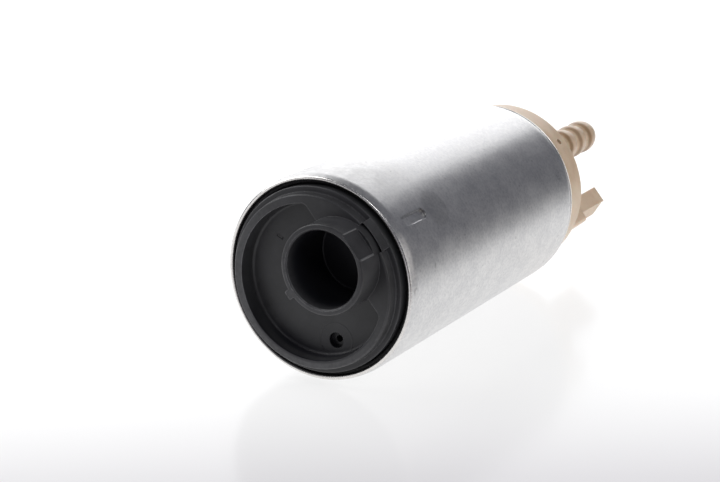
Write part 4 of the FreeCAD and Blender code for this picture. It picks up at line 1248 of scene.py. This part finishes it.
@dataclass(frozen=True)
class OutletEnd(Assembly):
    """Beige outlet cover, terminals and the two valves."""

    outfits: tuple[Outfit, ...] = (
        (OutletResin("outlet_resin"), ("outlet_cover",)),
        (WorkedMetal("tinned_brass", (0.7, 0.67, 0.58), (0.55, 0.5, 0.38), 0.32, Lay.ALONG, 0.2, 0.005),
         ("terminal_positive", "terminal_negative")),
        (WorkedMetal("valve_brass", (0.75, 0.55, 0.22), (0.5, 0.35, 0.14), 0.28, Lay.AROUND, 0.15, 0.005),
         ("check_valve_seat", "relief_valve_seat")),
        (MouldedResin("poppet_resin", (0.66, 0.63, 0.56), (0.72, 0.7, 0.63), (0.8, 0.78, 0.72), 0.4),
         ("check_valve_poppet",)),
        (WorkedMetal("ball_steel", (0.72, 0.72, 0.74), (0.6, 0.6, 0.62), 0.12, Lay.CAST, 0.3, 0.002),
         ("relief_valve_ball",)),
    )


# ---- Studio


@dataclass(frozen=True)
class Lamp:
    """A soft rectangular lamp that points at a target."""

    name: str
    place: Triple
    target: Triple
    size: tuple[float, float]
    power: float
    colour: Colour = WHITE
    mirrored: bool = True

    def hang(self) -> None:
        """Put the lamp in the scene, with its -Z towards the target."""
        light = bpy.data.lights.new(self.name, "AREA")
        light.shape = "RECTANGLE"
        light.size, light.size_y = self.size
        light.energy = self.power
        light.color = self.colour
        lamp = show(self.name, light)
        aim = np.array(self.target) - np.array(self.place)
        x, y, z = aim / np.linalg.norm(aim)
        lamp.location = self.place
        lamp.rotation_euler = (math.acos(-z), 0.0, math.atan2(y, x) - math.pi / 2)
        lamp.visible_glossy = self.mirrored


@dataclass(frozen=True)
class Studio:
    """Pale glossy floor, soft lamps as wide as their reflections on the can, and the photograph's camera."""

    lamps: tuple[Lamp, ...] = (
        Lamp("softbox_top", (-0.68, -0.08, 0.66), (0.0, 0.0, 0.0), (0.8, 0.8), 6.0),
        Lamp("wall_left", (-0.54, 1.22, 0.45), (0.0, 0.0, 0.0), (1.35, 0.9), 6.6),
        Lamp("wall_right", (1.15, 0.3, 0.25), (0.0, 0.03, 0.0), (0.7, 0.6), 2.1, (1.0, 0.95, 0.9)),
        Lamp("fill_right", (1.1, -0.2, 0.7), (0.0, 0.0, 0.0), (0.9, 0.9), 5.6, mirrored=False),
        Lamp("glint_front", (0.22, -0.47, 0.53), (0.0, -0.03, 0.0), (0.14, 0.14), 0.4),
        Lamp("wall_front_left", (-1.0, -0.75, 0.35), (0.0, -0.03, 0.0), (0.9, 0.6), 1.6),
    )
    floor_level: float = -21.5 * MM
    floor_half: float = 0.9
    floor_glow: float = 0.75
    floor_dusk: float = 0.1
    front_colour: Colour = (0.52, 0.502, 0.54)
    fade: Span = (28.0, 142.0)
    fade_lean: float = 0.12
    far_right: Span = (35.0, 130.0)
    room_level: float = 0.14
    room_colour: Colour = (0.86, 0.88, 1.0)
    azimuth: float = 29.488
    elevation: float = 15.994
    focal_px: float = 1874.4
    width_px: float = 720.0
    sensor_mm: float = 36.0
    camera_place: Triple = (0.184525, -0.348704, 0.111164)

    def build(self) -> None:
        """Build the floor, the world, the lamps and the camera."""
        self._floor()
        self._world()
        for lamp in self.lamps:
            lamp.hang()
        self._camera()
        bpy.context.scene.view_settings.view_transform = "Standard"

    def _floor(self) -> None:
        """Wide floor sheet, glossy and white, fading to a pale lavender in front of the pump.

        Its glow is dimmer at the far right, which only reflections show.
        """
        half = self.floor_half
        mesh = bpy.data.meshes.new("floor")
        corners = [(-half, -half), (half, -half), (half, half), (-half, half)]
        mesh.from_pydata([(x, y, self.floor_level) for x, y in corners], [], [(0, 1, 2, 3)])
        floor = show("floor", mesh)
        graph = Graph("floor_gloss")
        right, away = graph.x.turned(graph.y, self.azimuth)
        fade = (right * self.fade_lean - away).within(*self.fade)
        tone = graph.blend(fade, WHITE, self.front_colour)
        paint = graph.blend(self.floor_glow, tone, (0.0, 0.0, 0.0))
        graph.finish(Base_Color=paint, Roughness=0.16, Specular_IOR_Level=0.055)
        glow, dusk = (
            graph.node("ShaderNodeEmission", {"Color": tone, "Strength": strength}).outputs[0]
            for strength in (self.floor_glow, self.floor_glow * self.floor_dusk)
        )
        seen = Value(graph, graph.node("ShaderNodeLightPath").outputs["Is Camera Ray"])
        dim = graph.x.within(*self.far_right) * (1.0 - seen)
        lit = graph.node("ShaderNodeMixShader", {0: dim, 1: glow, 2: dusk}).outputs[0]
        both = graph.node("ShaderNodeAddShader", {0: graph.surface.outputs[0], 1: lit}).outputs[0]
        graph.plug(graph.output.inputs["Surface"], both)
        floor.data.materials.append(graph.material)

    def _world(self) -> None:
        """White behind the object, and a plain soft light level for everything else."""
        world = bpy.data.worlds.new("studio")
        bpy.context.scene.world = world
        tree = Tree(world)
        seen = tree.node("ShaderNodeLightPath").outputs["Is Camera Ray"]
        room, white = (
            tree.node("ShaderNodeBackground", {"Color": (*colour, 1.0), "Strength": level}).outputs[0]
            for colour, level in ((self.room_colour, self.room_level), (WHITE, 1.0))
        )
        both = tree.node("ShaderNodeMixShader", {0: seen, 1: room, 2: white}).outputs[0]
        tree.node("ShaderNodeOutputWorld", {"Surface": both})

    def _camera(self) -> None:
        """Camera whose axis looks down and to the left along the pump."""
        data = bpy.data.cameras.new("camera")
        data.sensor_width = self.sensor_mm
        data.lens = self.focal_px * self.sensor_mm / self.width_px
        data.clip_start = 0.01
        camera = show("camera", data)
        camera.location = self.camera_place
        camera.rotation_euler = (math.radians(90.0 - self.elevation), 0.0, math.radians(self.azimuth))
        bpy.context.scene.camera = camera


def main() -> None:
    """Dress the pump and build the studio."""
    logging.basicConfig(level=logging.INFO, format="%(message)s")
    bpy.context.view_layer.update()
    for part in (Can(), InletEnd(), Motor(), OutletEnd()):
        part.build()
    Studio().build()


if __name__ == "__main__":
    main()
